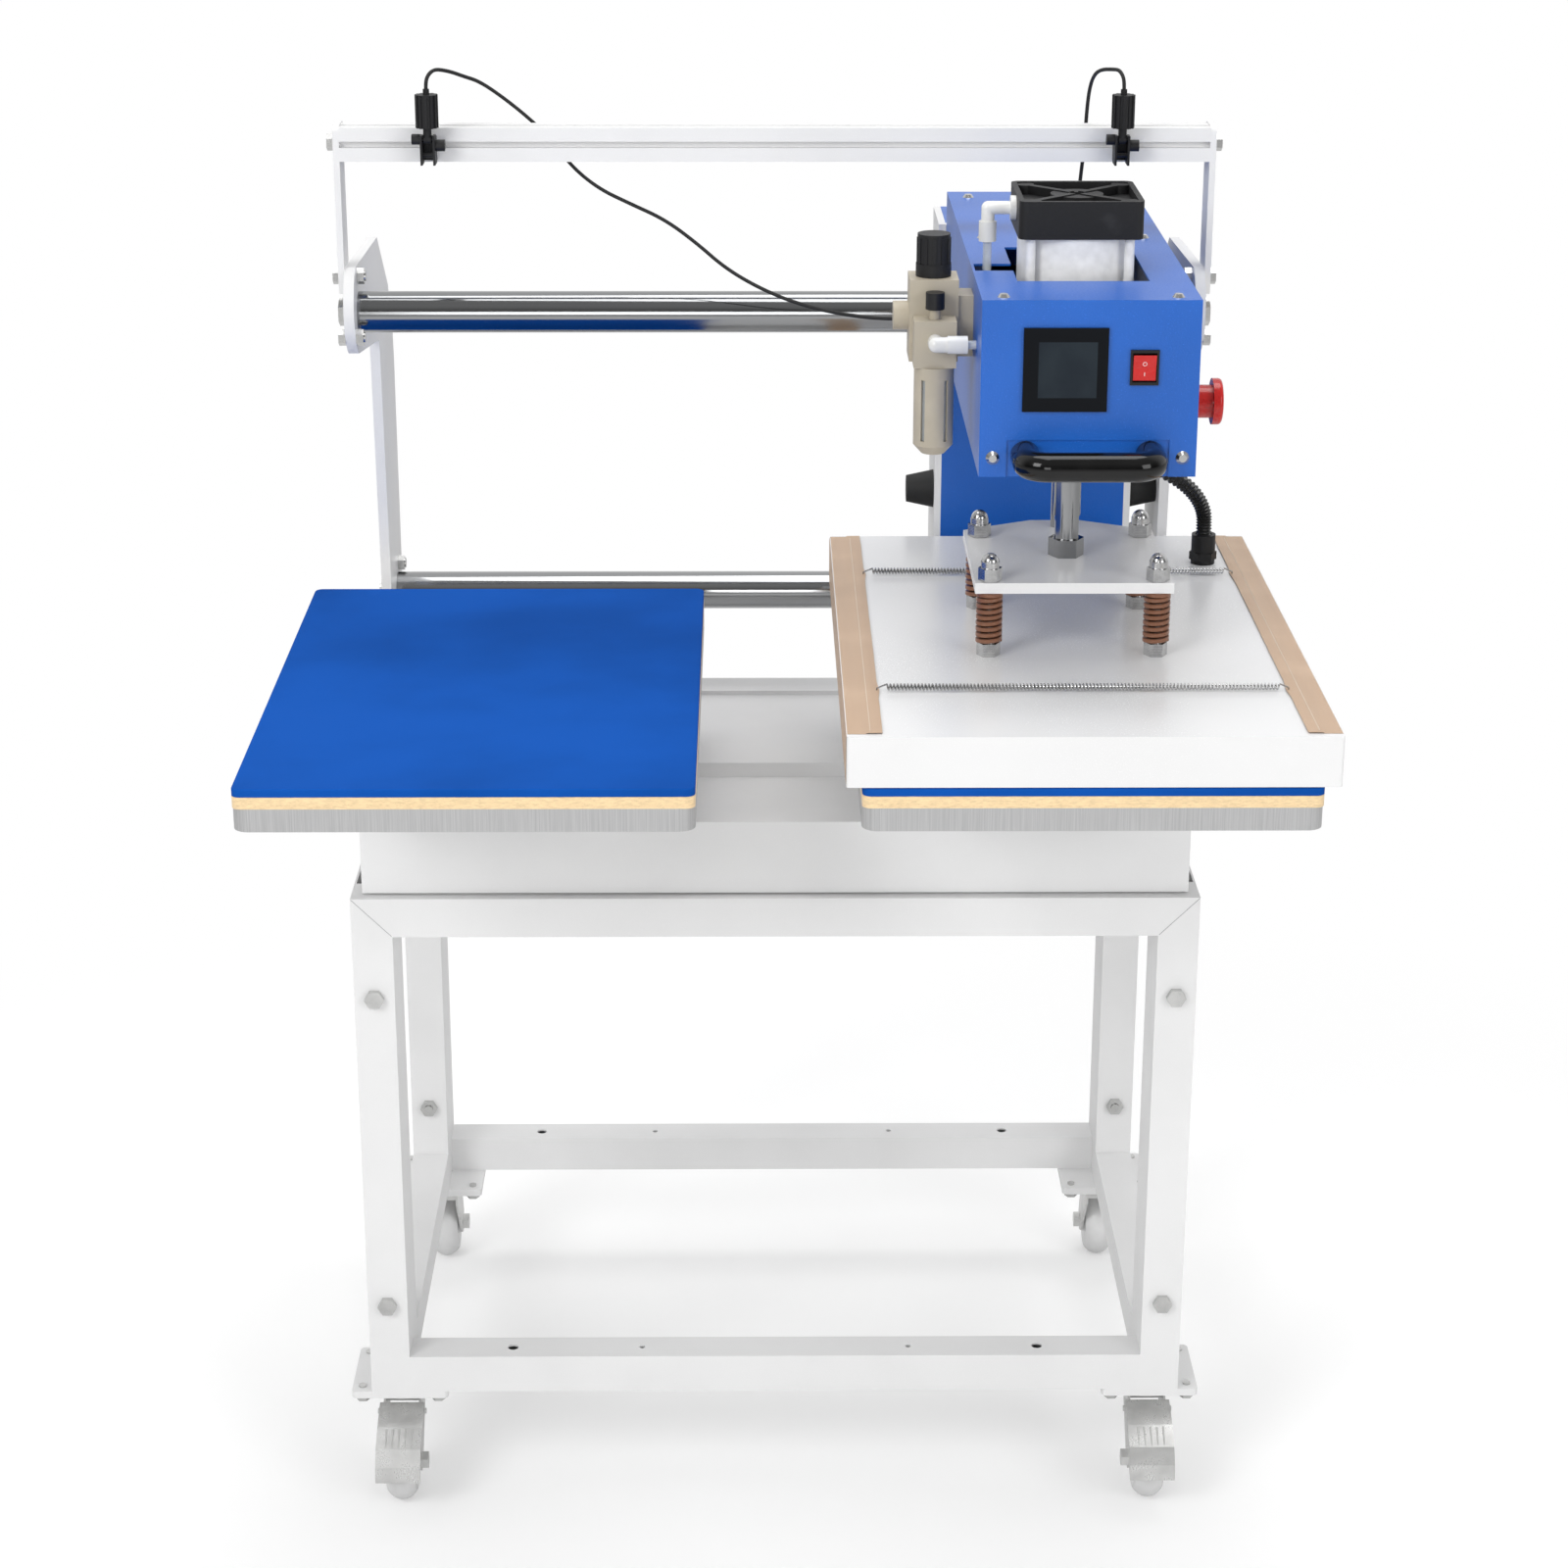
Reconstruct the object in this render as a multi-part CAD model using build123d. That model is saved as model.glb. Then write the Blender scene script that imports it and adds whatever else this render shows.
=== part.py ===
from build123d import *
import math
import os

# Dual station heat press: two lower platens on a castered stand, and one press head that
# slides between them on two guide shafts. Millimetres, +X right, +Y back, +Z up.
# The parts are laid out from the middle of the stand's front face on the floor, and the
# finished model is moved so that its origin is the middle of its footprint.

# Fits and small gaps
RUNNING = 0.08
CLEAR = 0.3
HOLE_CLEAR = 0.3
TOUCH_GAP = 0.5

# Stand
TUBE = 40.0
TUBE_WALL = 2.0
STAND_WIDTH = 830.0
STAND_DEPTH = 550.0
LEG_LENGTH = 545.0
JOINT_BOLT_RADIUS = 5.0
JOINT_BOLT_FLATS = 17.0
JOINT_BOLT_HEAD = 6.4
JOINT_BOLT_LOW = 100.0
JOINT_BOLT_HIGH = 440.0
RAIL_HOLE_RADIUS = 5.5
RAIL_HOLE_SMALL = 3.0
RAIL_HOLE_HALF_SPAN = 270.0
RAIL_HOLE_SMALL_HALF_SPAN = 137.0

# Caster plates and casters
CASTER_PLATE_WIDTH = 99.0
CASTER_PLATE_DEPTH = 92.0
CASTER_PLATE = 8.0
CASTER_PLATE_OUTSET = 21.0
CASTER_BOLT_SPAN_X = 78.0
CASTER_BOLT_SPAN_Y = 70.0
CASTER_BOLT_RADIUS = 4.0
CASTER_BOLT_FLATS = 13.0
CASTER_HEIGHT = 116.0
WHEEL_RADIUS = 40.0
WHEEL_WIDTH = 30.0
WHEEL_CROWN = 6.0
WHEEL_AXLE_RADIUS = 6.0
WHEEL_HUB_RADIUS = 13.0
CASTER_TRAIL = 40.0
FORK_INNER = 34.0
FORK_SHEET = 2.5
RACE_RADIUS = 28.0
RACE_HEIGHT = 11.0
KING_PIN_RADIUS = 6.0
PEDAL_SHEET = 2.5
PEDAL_WIDTH = 46.0
PEDAL_PIN_RADIUS = 3.0
PEDAL_PIVOT_OUT = 30.0
PEDAL_PIVOT_HEIGHT = 92.0
PEDAL_CREST = 9.0
PEDAL_LEAD = 2.0
PEDAL_BROW = 20.0
PEDAL_BROW_DROP = 2.0
PEDAL_KNEE = 42.0
PEDAL_KNEE_HEIGHT = 77.0
PEDAL_LIP = 53.0
PEDAL_LIP_HEIGHT = 62.0
PEDAL_TIP = 56.0
PEDAL_TIP_HEIGHT = 46.0
PEDAL_EAR = 6.0

# Tray on the stand
TRAY_HALF_WIDTH = 404.0
TRAY_FRONT = 10.0
TRAY_DEPTH = 438.0
TRAY_HEIGHT = 76.0
TRAY_SHEET = 3.0
TRAY_SEAM = 2.5
CROSS_BAR_FRONT = 140.0
CROSS_BAR_DEPTH = 62.0
CROSS_BAR_HEIGHT = 15.0
REAR_BAR_DEPTH = 45.0
REAR_BAR_HEIGHT = 5.0

# Lower platens
STATION_INSET = 132.0
STATION = TRAY_HALF_WIDTH - STATION_INSET
PLATEN_WIDTH = 400.0
PLATEN_DEPTH = 610.0
PLATEN_FRONT = -325.0
BOARD = 21.0
BOARD_CORNER = 14.0
BOARD_UNDERSIDE = 861.0
SPONGE = 11.0
SILICONE = 7.0
PAD_CORNER = 8.0
RAIL_WIDTH = 40.0
RAIL_HEIGHT = 20.0
RAIL_HALF_SPAN = 110.0
RAIL_FRONT = -250.0
RAIL_BACK = 260.0
GUSSET = 8.0
GUSSET_FRONT = -170.0
GUSSET_BACK = 290.0

# Side plates and guide shafts
ARM_INNER = TRAY_HALF_WIDTH
ARM = 10.0
SHAFT_RADIUS = 20.0
UPPER_SHAFT_Y = 187.0
UPPER_SHAFT_Z = 1209.0
LOWER_SHAFT_Y = 439.0
LOWER_SHAFT_Z = 853.0
NOSE_FRONT = UPPER_SHAFT_Y - 44.0
NOSE_TOP = UPPER_SHAFT_Z + 47.0
NOSE_UNDER = UPPER_SHAFT_Z - 38.0
ARM_FRONT_TOP = 351.0
ARM_FRONT_TOP_Z = UPPER_SHAFT_Z - 63.0
ARM_FRONT_FOOT = 389.0
ARM_BACK = LOWER_SHAFT_Y + 45.0
NOSE_LEAD_TOP = 26.0
NOSE_LEAD_UNDER = 30.0
ARM_BACK_INSETS = (119.0, 32.0, 4.0, 0.0)
ARM_BACK_DROPS = (7.0, 73.0, 128.0, 160.0)
SHAFT_BOLT_FLATS = 24.0
SHAFT_BOLT_RADIUS = 8.0
SHAFT_BOLT_HEAD = 9.0
FLANGE_BOLT_RADIUS = 5.0
FLANGE_BOLT_FLATS = 14.0
FLANGE_NUT = 7.0
POST_BOLT_Y = UPPER_SHAFT_Y - 4.0
POST_BOLT_Z = UPPER_SHAFT_Z + 36.0
NOSE_BOLT_Y = UPPER_SHAFT_Y - 29.0
NOSE_BOLT_Z = UPPER_SHAFT_Z - 19.0
LOW_BOLT_RISE = 28.0
ARM_BOLT_INSET = 22.0

# Laser bar
BAR = 32.0
BAR_FRONT = UPPER_SHAFT_Y - 23.0
BAR_TOP = UPPER_SHAFT_Z + 181.0
BAR_SLOT = 6.0
BAR_SLOT_DEPTH = 7.0
POST = 6.0
POST_DEPTH = 38.0
POST_FOOT = UPPER_SHAFT_Z + 22.0
LASER_X = 328.0
LASER_RADIUS = 11.0
LASER_LENGTH = 31.0
LASER_FRONT_GAP = 18.0
LASER_PIVOT_DROP = 8.0
LASER_NECK_RADIUS = 4.0
CLAMP_CHEEK = 2.0
CLAMP_GAP = 10.0
CLAMP_PIN_RADIUS = 2.0
CABLE_RADIUS = 1.8
LASER_STUB = 5.0
LEFT_ENTRY_HEIGHT = 94.0
RIGHT_ENTRY_X = 20.0

# Turns of the laser cables, as offsets from the top of the module's stub
LEFT_CABLE_TURNS = [
    (0, 0, 0), (0, 0, 7), (2.46, 2.46, 13.04), (6.73, 6.73, 16.5), (11.67, 11.67, 16.5),
    (22, 22, 13), (33, 34, 7), (46, 52, 0), (66, 65, -16), (90, 69, -36), (114, 65, -58),
    (132, 59, -82), (158, 51, -102), (189, 41, -115), (222, 30, -128), (252, 18, -148),
    (280, 4, -170), (312, -11, -186), (346, -28, -197), (382, -45, -203), (418, -61, -205),
    (450, -74, -203), (476, -83, -199), (490, -86, -198), (504.5, -86, -198)]
RIGHT_CABLE_TURNS = [
    (0, 0, 0), (0, 0, 7), (-1.58, 3.1, 13.04), (-4.33, 8.47, 16.5), (-7.51, 14.69, 16.5),
    (-19, 30, 14.5), (-24, 47, 7), (-26, 65, -8), (-27, 73, -28), (-28, 72, -50),
    (-30, 65, -72), (-33, 56, -93), (-35, 49, -111), (-36, 46, -123), (-36, 46, -135)]

# Head casing
CASING_WIDTH = 191.0
CASING_FRONT = -174.0
CASING_DEPTH = 546.0
CASING_FLOOR = UPPER_SHAFT_Z - 72.0
CASING_HEIGHT = 157.0
CASING_SHEET = 2.0
CUTOUT_HALF_WIDTH = 59.0
CUTOUT_FRONT = -90.0
CUTOUT_DEPTH = 160.0
TUBE_NOTCH_WIDTH = 34.0
TUBE_NOTCH_FRONT = -42.0
TUBE_NOTCH_DEPTH = 32.0
SHAFT_WINDOW_RADIUS = 25.0
GRIP_PANEL_WIDTH = 143.0
GRIP_PANEL_HEIGHT = 33.0
GRIP_RADIUS = 13.0
GRIP_HALF_SPAN = 55.0
GRIP_REACH = 41.0
GRIP_BEND = 18.0
GRIP_HEIGHT = 19.0
SCREW_RADIUS = 5.5
SCREW_DOME = 3.0
SCREW_TAPER = 0.62
TOP_SCREW_INSET = 19.5
TOP_SCREW_ROWS = (14.0, 292.0, 514.0)
FRONT_SCREW_RADIUS = 6.1
FRONT_SCREW_INSET = 12.0
FRONT_SCREW_HEIGHT = 17.0
DISPLAY_SIZE = 74.0
DISPLAY_X = -22.0
DISPLAY_Z = CASING_FLOOR + 96.0
DISPLAY_PROUD = 3.0
DISPLAY_BODY = 30.0
ROCKER_X = 47.0
ROCKER_Z = CASING_FLOOR + 98.0
ROCKER_BEZEL_WIDTH = 25.0
ROCKER_BEZEL_HEIGHT = 31.0
ROCKER_WIDTH = 20.0
ROCKER_PLAY = 0.6
ROCKER_HOUSING_INSET = 1.2
ROCKER_CUTOUT_INSET = 1.0
ROCKER_PIN_RADIUS = 1.2
ROCKER_HEIGHT = 23.0
ROCKER_PROUD = 2.5
ESTOP_Y = -60.0
ESTOP_Z = CASING_FLOOR + 41.0
ESTOP_COLLAR_RADIUS = 14.0
ESTOP_COLLAR = 8.0
ESTOP_STEM_RADIUS = 9.0
ESTOP_TRAVEL = 5.0
ESTOP_BODY_RADIUS = 15.0
ESTOP_HEAD_RADIUS = 21.0
ESTOP_REACH = 36.0

# Head structure
BEAM = 10.0
BEAM_INNER = CASING_WIDTH / 2 - 17.5
BEAM_FRONT = -150.0
BEAM_FLOOR = CASING_FLOOR + 8.0
BEAM_HEIGHT = 138.0
FOOT_PLATE = 12.0
FOOT_PLATE_FLOOR = BEAM_FLOOR + 5.0
HOUSING = 56.0
HOUSING_LENGTH = 46.0
CARRIAGE_HALF_WIDTH = CASING_WIDTH / 2 + 0.5
CARRIAGE_PLATE = 7.0
CARRIAGE_FRONT = 375.0
CARRIAGE_DEPTH = 105.0
CARRIAGE_FLOOR = 816.0
CARRIAGE_TOP_DROP = 34.0
TIE = 12.0
CONTROL_HALF_WIDTH = 62.0
CONTROL_FRONT = CASING_FRONT + 420.0
CONTROL_DEPTH = 106.0
CONTROL_HEIGHT = 70.0
CONTROL_TRAY = 8.0
CONTROL_TRAY_LIP = 5.0
VALVE_WIDTH = 24.0
VALVE_FRONT = CASING_FRONT + 292.0
VALVE_DEPTH = 32.0
VALVE_RISE = 20.0
VALVE_HEIGHT = 46.0
BUMPER_RADIUS = 20.0
BUMPER_TIP_RADIUS = 14.0
BUMPER_LENGTH = 28.5
BUMPER_Y = 400.0
BUMPER_Z = 976.0

# Cylinder
CYLINDER_Y = -4.0
CAP = 112.0
CAP_CORNER = 8.0
TOP_CAP = 34.0
TOP_CAP_FLOOR = CASING_FLOOR + 188.0
FOOT_CAP = 30.0
BARREL_RADIUS = 53.0
BARREL_BORE = 50.0
TIE_ROD_HALF_SPAN = 44.5
TIE_ROD_RADIUS = 4.5
PISTON = 24.0
ROD_RADIUS = 12.5
ROD_FLAT = 10.8
GUIDE_ROD_RADIUS = 6.0
GUIDE_ROD_Y = 96.0
PORT_RADIUS = 9.0
PORT_FORWARD = 11.0
TUBE_DROP = 50.0
TUBE_SLOT = 14.0

# Filter-regulator on the left of the casing
REG_X = -CASING_WIDTH / 2 - 35.5
REG_Y = -44.0
REG_WIDTH = 44.0
REG_FLOOR = CASING_FLOOR + 79.0
REG_BODY = 61.0
REG_COLLAR = 13.0
REG_KNOB_RADIUS = 16.0
REG_KNOB = 38.0
BOWL_BLOCK_WIDTH = 38.0
BOWL_BLOCK_DEPTH = 28.0
BOWL_BLOCK_HEIGHT = 42.0
BOWL_RADIUS = 18.0
BOWL_FLOOR = REG_FLOOR - 80.0
GAUGE_RADIUS = 13.0
GAUGE_LENGTH = 14.0
INLET_RADIUS = 5.7
INLET_DEPTH = 12.0
INLET_HEIGHT = 24.0
AIR_TUBE_RADIUS = 4.0
AIR_TUBE_BORE = 2.6

# Pressure plate, studs and springs
PRESS_PLATE = 10.0
PRESS_PLATE_FLOOR = 1008.0
PRESS_PLATE_HALF_WIDTH = 91.0
PRESS_PLATE_FRONT = -100.0
PRESS_PLATE_BACK = 82.0
PRESS_PEAK_HALF_WIDTH = 24.0
PRESS_PEAK_BACK = 118.0
ROD_NUT_FLATS = 29.0
ROD_NUT = 17.0
STUD_RADIUS = 6.0
STUD_HALF_SPAN = 77.0
STUD_FRONT_Y = -90.0
STUD_BACK_Y = 62.0
STUD_NUT_FLATS = 19.0
STUD_NUT = 12.0
ACORN = 13.0
SPRING_RADIUS = 12.3
SPRING_WIRE_RADIUS = 1.7
SPRING_CURLS = 8
SPRING_CURL_STEPS = 4

# Heater
HEATER_WIDTH = PLATEN_WIDTH + 28.0
HEATER_FRONT = PLATEN_FRONT
HEATER_DEPTH = PLATEN_DEPTH + 31.0
HEATER_HEIGHT = 46.0
HEATER_SHEET = 2.0
HEATER_EDGE = 3.0
HOT_PLATE_WIDTH = PLATEN_WIDTH
HOT_PLATE_DEPTH = PLATEN_DEPTH
HOT_PLATE = 22.0
CLOTH = 0.6
CLOTH_INSET = 8.0
CLOTH_HEM = 33.0
TENSION_SPRING_RADIUS = 3.5
TENSION_SPRING_HALF_LENGTH = 174.0
TENSION_SPRING_FRONT_Y = -200.0
TENSION_SPRING_BACK_Y = 171.0
HOOK_RADIUS = 1.0
HOOK_LENGTH = 9.0
GLAND_X = 160.0
GLAND_Y = 216.0
GLAND_RADIUS = 12.0
GLAND = 30.0
CONDUIT_RADIUS = 8.0
CONDUIT_ROOT_RADIUS = 6.6
CONDUIT_BORE = 5.2
CONDUIT_RIBS = 40
GLAND_SOCKET = 7.0
LUG = 4.0
CONDUIT_TOP_X = 62.0
CONDUIT_TOP_Y = 186.0

# Places that follow from the sizes above
plate_floor = CASTER_HEIGHT
stand_floor = CASTER_HEIGHT + CASTER_PLATE
stand_top = stand_floor + LEG_LENGTH
half_stand = STAND_WIDTH / 2
tray_back = TRAY_FRONT + TRAY_DEPTH
tray_top = stand_top + TRAY_HEIGHT
cross_bar_top = tray_top + CROSS_BAR_HEIGHT
board_top = BOARD_UNDERSIDE + BOARD
sponge_top = board_top + SPONGE
pad_top = sponge_top + SILICONE
platen_back = PLATEN_FRONT + PLATEN_DEPTH
arm_outer = ARM_INNER + ARM
casing_top = CASING_FLOOR + CASING_HEIGHT
casing_back = CASING_FRONT + CASING_DEPTH
half_casing = CASING_WIDTH / 2
beam_outer = BEAM_INNER + BEAM
carriage_back = CARRIAGE_FRONT + CARRIAGE_DEPTH
carriage_top = casing_top - CARRIAGE_TOP_DROP
foot_cap_floor = FOOT_PLATE_FLOOR + FOOT_PLATE
foot_cap_top = foot_cap_floor + FOOT_CAP
top_cap_top = TOP_CAP_FLOOR + TOP_CAP
press_plate_top = PRESS_PLATE_FLOOR + PRESS_PLATE
cloth_floor = pad_top + CLEAR
heater_floor = cloth_floor + CLOTH
heater_top = heater_floor + HEATER_HEIGHT
heater_back = HEATER_FRONT + HEATER_DEPTH
half_heater = HEATER_WIDTH / 2
reg_top = REG_FLOOR + REG_BODY
tube_y = CYLINDER_Y - PORT_FORWARD
tube_foot = casing_top - TUBE_DROP
lug_floor = BEAM_FLOOR + LUG
laser_y = BAR_FRONT - LASER_FRONT_GAP
laser_pivot_z = BAR_TOP - LASER_PIVOT_DROP
laser_floor = BAR_TOP + 3 * CLAMP_CHEEK / 2
laser_top = laser_floor + LASER_LENGTH


# Building blocks

def block(x0, x1, y0, y1, z0, z1):
    """A box between two corners."""
    middle = ((x0 + x1) / 2, (y0 + y1) / 2, (z0 + z1) / 2)
    return Pos(*middle) * Box(abs(x1 - x0), abs(y1 - y0), abs(z1 - z0))


def rod_x(radius, x0, x1, y, z):
    """A round bar along X."""
    return Pos((x0 + x1) / 2, y, z) * Rot(0, 90, 0) * Cylinder(radius, abs(x1 - x0))


def rod_y(radius, y0, y1, x, z):
    """A round bar along Y."""
    return Pos(x, (y0 + y1) / 2, z) * Rot(90, 0, 0) * Cylinder(radius, abs(y1 - y0))


def rod_z(radius, z0, z1, x, y):
    """A round bar along Z."""
    return Pos(x, y, (z0 + z1) / 2) * Cylinder(radius, abs(z1 - z0))


def cone_z(low_radius, high_radius, z0, z1, x, y):
    """A round taper along Z."""
    return Pos(x, y, (z0 + z1) / 2) * Cone(low_radius, high_radius, z1 - z0)


def hexagon(flats, length):
    """A hexagonal prism centred on the origin, along Z."""
    face = RegularPolygon(flats / 2, 6, major_radius=False)
    return Pos(0, 0, -length / 2) * extrude(face, amount=length)


def hex_x(flats, x0, x1, y, z):
    """A hexagonal nut or head along X."""
    return Pos((x0 + x1) / 2, y, z) * Rot(0, 90, 0) * hexagon(flats, abs(x1 - x0))


def hex_y(flats, y0, y1, x, z):
    """A hexagonal nut or head along Y."""
    return Pos(x, (y0 + y1) / 2, z) * Rot(90, 0, 0) * hexagon(flats, abs(y1 - y0))


def hex_z(flats, z0, z1, x, y):
    """A hexagonal nut or head along Z."""
    return Pos(x, y, (z0 + z1) / 2) * hexagon(flats, abs(z1 - z0))


def slab_yz(points, x0, x1):
    """A flat plate cut to an outline of Y and Z values, from x0 to x1."""
    face = Plane.YZ * make_face(Polyline(*points, close=True))
    return Pos(x0, 0, 0) * extrude(face, amount=x1 - x0)


def slab_xz(points, y0, y1):
    """A flat plate cut to an outline of X and Z values, from y0 to y1."""
    face = Plane.XZ * make_face(Polyline(*points, close=True))
    return Pos(0, y1, 0) * extrude(face, amount=y1 - y0)


def slab_xy(points, z0, z1):
    """A flat plate cut to an outline of X and Y values, from z0 to z1."""
    face = make_face(Polyline(*points, close=True))
    return Pos(0, 0, z0) * extrude(face, amount=z1 - z0)


def rounded_slab(width, y0, y1, z0, z1, corner, x=0.0):
    """A flat pad with round vertical corners."""
    face = RectangleRounded(width, y1 - y0, corner)
    return Pos(x, (y0 + y1) / 2, z0) * extrude(face, amount=z1 - z0)


def mirrored(shape):
    """The same shape on the other side of the stand."""
    return mirror(shape, about=Plane.YZ)


def at_head(*shapes):
    """Shapes built about the head's own middle, moved to the right-hand station."""
    return [Pos(STATION, 0, 0) * shape for shape in shapes]


# Stand

def box_tube(x0, x1, y0, y1, z0, z1, run):
    """A square tube between two corners, open at both ends along its run."""
    wall = TUBE_WALL
    inner = {
        "x": (x0 - 1, x1 + 1, y0 + wall, y1 - wall, z0 + wall, z1 - wall),
        "y": (x0 + wall, x1 - wall, y0 - 1, y1 + 1, z0 + wall, z1 - wall),
        "z": (x0 + wall, x1 - wall, y0 + wall, y1 - wall, z0 - 1, z1 + 1),
    }[run]
    return block(x0, x1, y0, y1, z0, z1) - block(*inner)


def mitred_leg(y0):
    """The left leg of an end frame, with its top end cut at 45 degrees."""
    wall = TUBE_WALL
    left = -half_stand
    right = left + TUBE
    outer = [(left, stand_floor), (left, stand_top), (right, stand_top - TUBE), (right, stand_floor)]
    inner = [(left + wall, stand_floor - 1), (left + wall, stand_top - wall),
             (right - wall, stand_top - TUBE + wall), (right - wall, stand_floor - 1)]
    return slab_xz(outer, y0, y0 + TUBE) - slab_xz(inner, y0 + wall, y0 + TUBE - wall)


def mitred_top(y0):
    """The top tube of an end frame, with both ends cut at 45 degrees."""
    wall = TUBE_WALL
    low = stand_top - TUBE
    outer = [(-half_stand, stand_top), (half_stand, stand_top),
             (half_stand - TUBE, low), (-half_stand + TUBE, low)]
    inner = [(-half_stand + wall, stand_top - wall), (half_stand - wall, stand_top - wall),
             (half_stand - TUBE + wall, low + wall), (-half_stand + TUBE - wall, low + wall)]
    return slab_xz(outer, y0, y0 + TUBE) - slab_xz(inner, y0 + wall, y0 + TUBE - wall)


def lower_rail(y0):
    """The lower rail of an end frame, drilled for a shelf."""
    inner_x = half_stand - TUBE
    rail = box_tube(-inner_x, inner_x, y0, y0 + TUBE, stand_floor, stand_floor + TUBE, "x")
    top = stand_floor + TUBE
    for side in (-1, 1):
        for x, radius in ((RAIL_HOLE_HALF_SPAN, RAIL_HOLE_RADIUS),
                          (RAIL_HOLE_SMALL_HALF_SPAN, RAIL_HOLE_SMALL)):
            rail -= rod_z(radius, top - 2 * TUBE_WALL, top + 1, side * x, y0 + TUBE / 2)
    return rail


def joint_bolt_heights():
    return [stand_floor + JOINT_BOLT_LOW, stand_floor + JOINT_BOLT_HIGH]


def drill_leg(leg, x, y0, y1):
    """Cuts the joining bolts' holes through one leg."""
    for z in joint_bolt_heights():
        leg -= rod_y(JOINT_BOLT_RADIUS + HOLE_CLEAR, y0 - 1, y1 + 1, x, z)
    return leg


def end_frames():
    """Front and rear frames: two legs, a top tube and a lower rail each."""
    solids = []
    leg_x = -half_stand + TUBE / 2
    for y0 in (0.0, STAND_DEPTH - TUBE):
        leg = drill_leg(mitred_leg(y0), leg_x, y0, y0 + TUBE)
        solids += [leg, mirrored(leg), mitred_top(y0), lower_rail(y0)]
    return solids


def side_frames():
    """Left and right side frames between the end frames."""
    solids = []
    x0 = -half_stand
    x1 = x0 + TUBE
    back = STAND_DEPTH - TUBE
    for y0 in (TUBE, back - TUBE):
        leg = box_tube(x0, x1, y0, y0 + TUBE, stand_floor, stand_top, "z")
        leg = drill_leg(leg, (x0 + x1) / 2, y0, y0 + TUBE)
        solids.append(leg)
    for z0 in (stand_floor, stand_top - TUBE):
        solids.append(box_tube(x0, x1, 2 * TUBE, back - TUBE, z0, z0 + TUBE, "y"))
    return solids + [mirrored(solid) for solid in solids]


def stand_bolts():
    """Bolts and nuts that join the frames, and the casters' plate bolts."""
    solids = []
    x = -half_stand + TUBE / 2
    for z in joint_bolt_heights():
        for outside, inside in ((0.0, 2 * TUBE), (STAND_DEPTH, STAND_DEPTH - 2 * TUBE)):
            way = -1 if outside < inside else 1
            head = hex_y(JOINT_BOLT_FLATS, outside + way * JOINT_BOLT_HEAD, outside, x, z)
            shank_end = inside - way * 1.3 * JOINT_BOLT_HEAD
            shank = rod_y(JOINT_BOLT_RADIUS, outside, shank_end, x, z)
            nut = hex_y(JOINT_BOLT_FLATS, inside, inside - way * JOINT_BOLT_HEAD, x, z)
            nut -= rod_y(JOINT_BOLT_RADIUS, inside + 1, shank_end - way, x, z)
            solids += [head + shank, nut]
    for x, y in caster_places():
        if x > 0:
            continue
        for dx in (-1, 1):
            for dy in (-1, 1):
                bx = x + dx * CASTER_BOLT_SPAN_X / 2
                by = y + dy * CASTER_BOLT_SPAN_Y / 2
                solids.append(plate_bolt(bx, by))
    return solids + [mirrored(solid) for solid in solids]


def plate_bolt(x, y):
    """One bolt through a caster plate, with its head below and a dome above."""
    under_rail = abs(x) < half_stand and not TUBE < y < STAND_DEPTH - TUBE
    head = hex_z(CASTER_BOLT_FLATS, plate_floor - 6.0, plate_floor, x, y)
    shank_end = stand_floor if under_rail else stand_floor + 2.0
    shank = rod_z(CASTER_BOLT_RADIUS, plate_floor, shank_end, x, y)
    return head + shank


# Casters

def caster_places():
    """The four swivel axes: front left, front right, rear left, rear right."""
    x = half_stand + CASTER_PLATE_OUTSET - CASTER_PLATE_WIDTH / 2
    front = CASTER_PLATE_DEPTH / 2
    rear = STAND_DEPTH - CASTER_PLATE_DEPTH / 2
    return [(-x, front), (x, front), (-x, rear), (x, rear)]


def caster_plates():
    """Flat plates welded under the legs, one for each caster."""
    solids = []
    for x, y in caster_places():
        plate = rounded_slab(CASTER_PLATE_WIDTH, y - CASTER_PLATE_DEPTH / 2,
                             y + CASTER_PLATE_DEPTH / 2, plate_floor, stand_floor, 5.0, x)
        plate -= rod_z(KING_PIN_RADIUS + RUNNING, plate_floor - 1, stand_floor + 1, x, y)
        for dx in (-1, 1):
            for dy in (-1, 1):
                bx = x + dx * CASTER_BOLT_SPAN_X / 2
                by = y + dy * CASTER_BOLT_SPAN_Y / 2
                plate -= rod_z(CASTER_BOLT_RADIUS, plate_floor - 1, stand_floor + 1, bx, by)
        solids.append(plate)
    return solids


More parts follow.
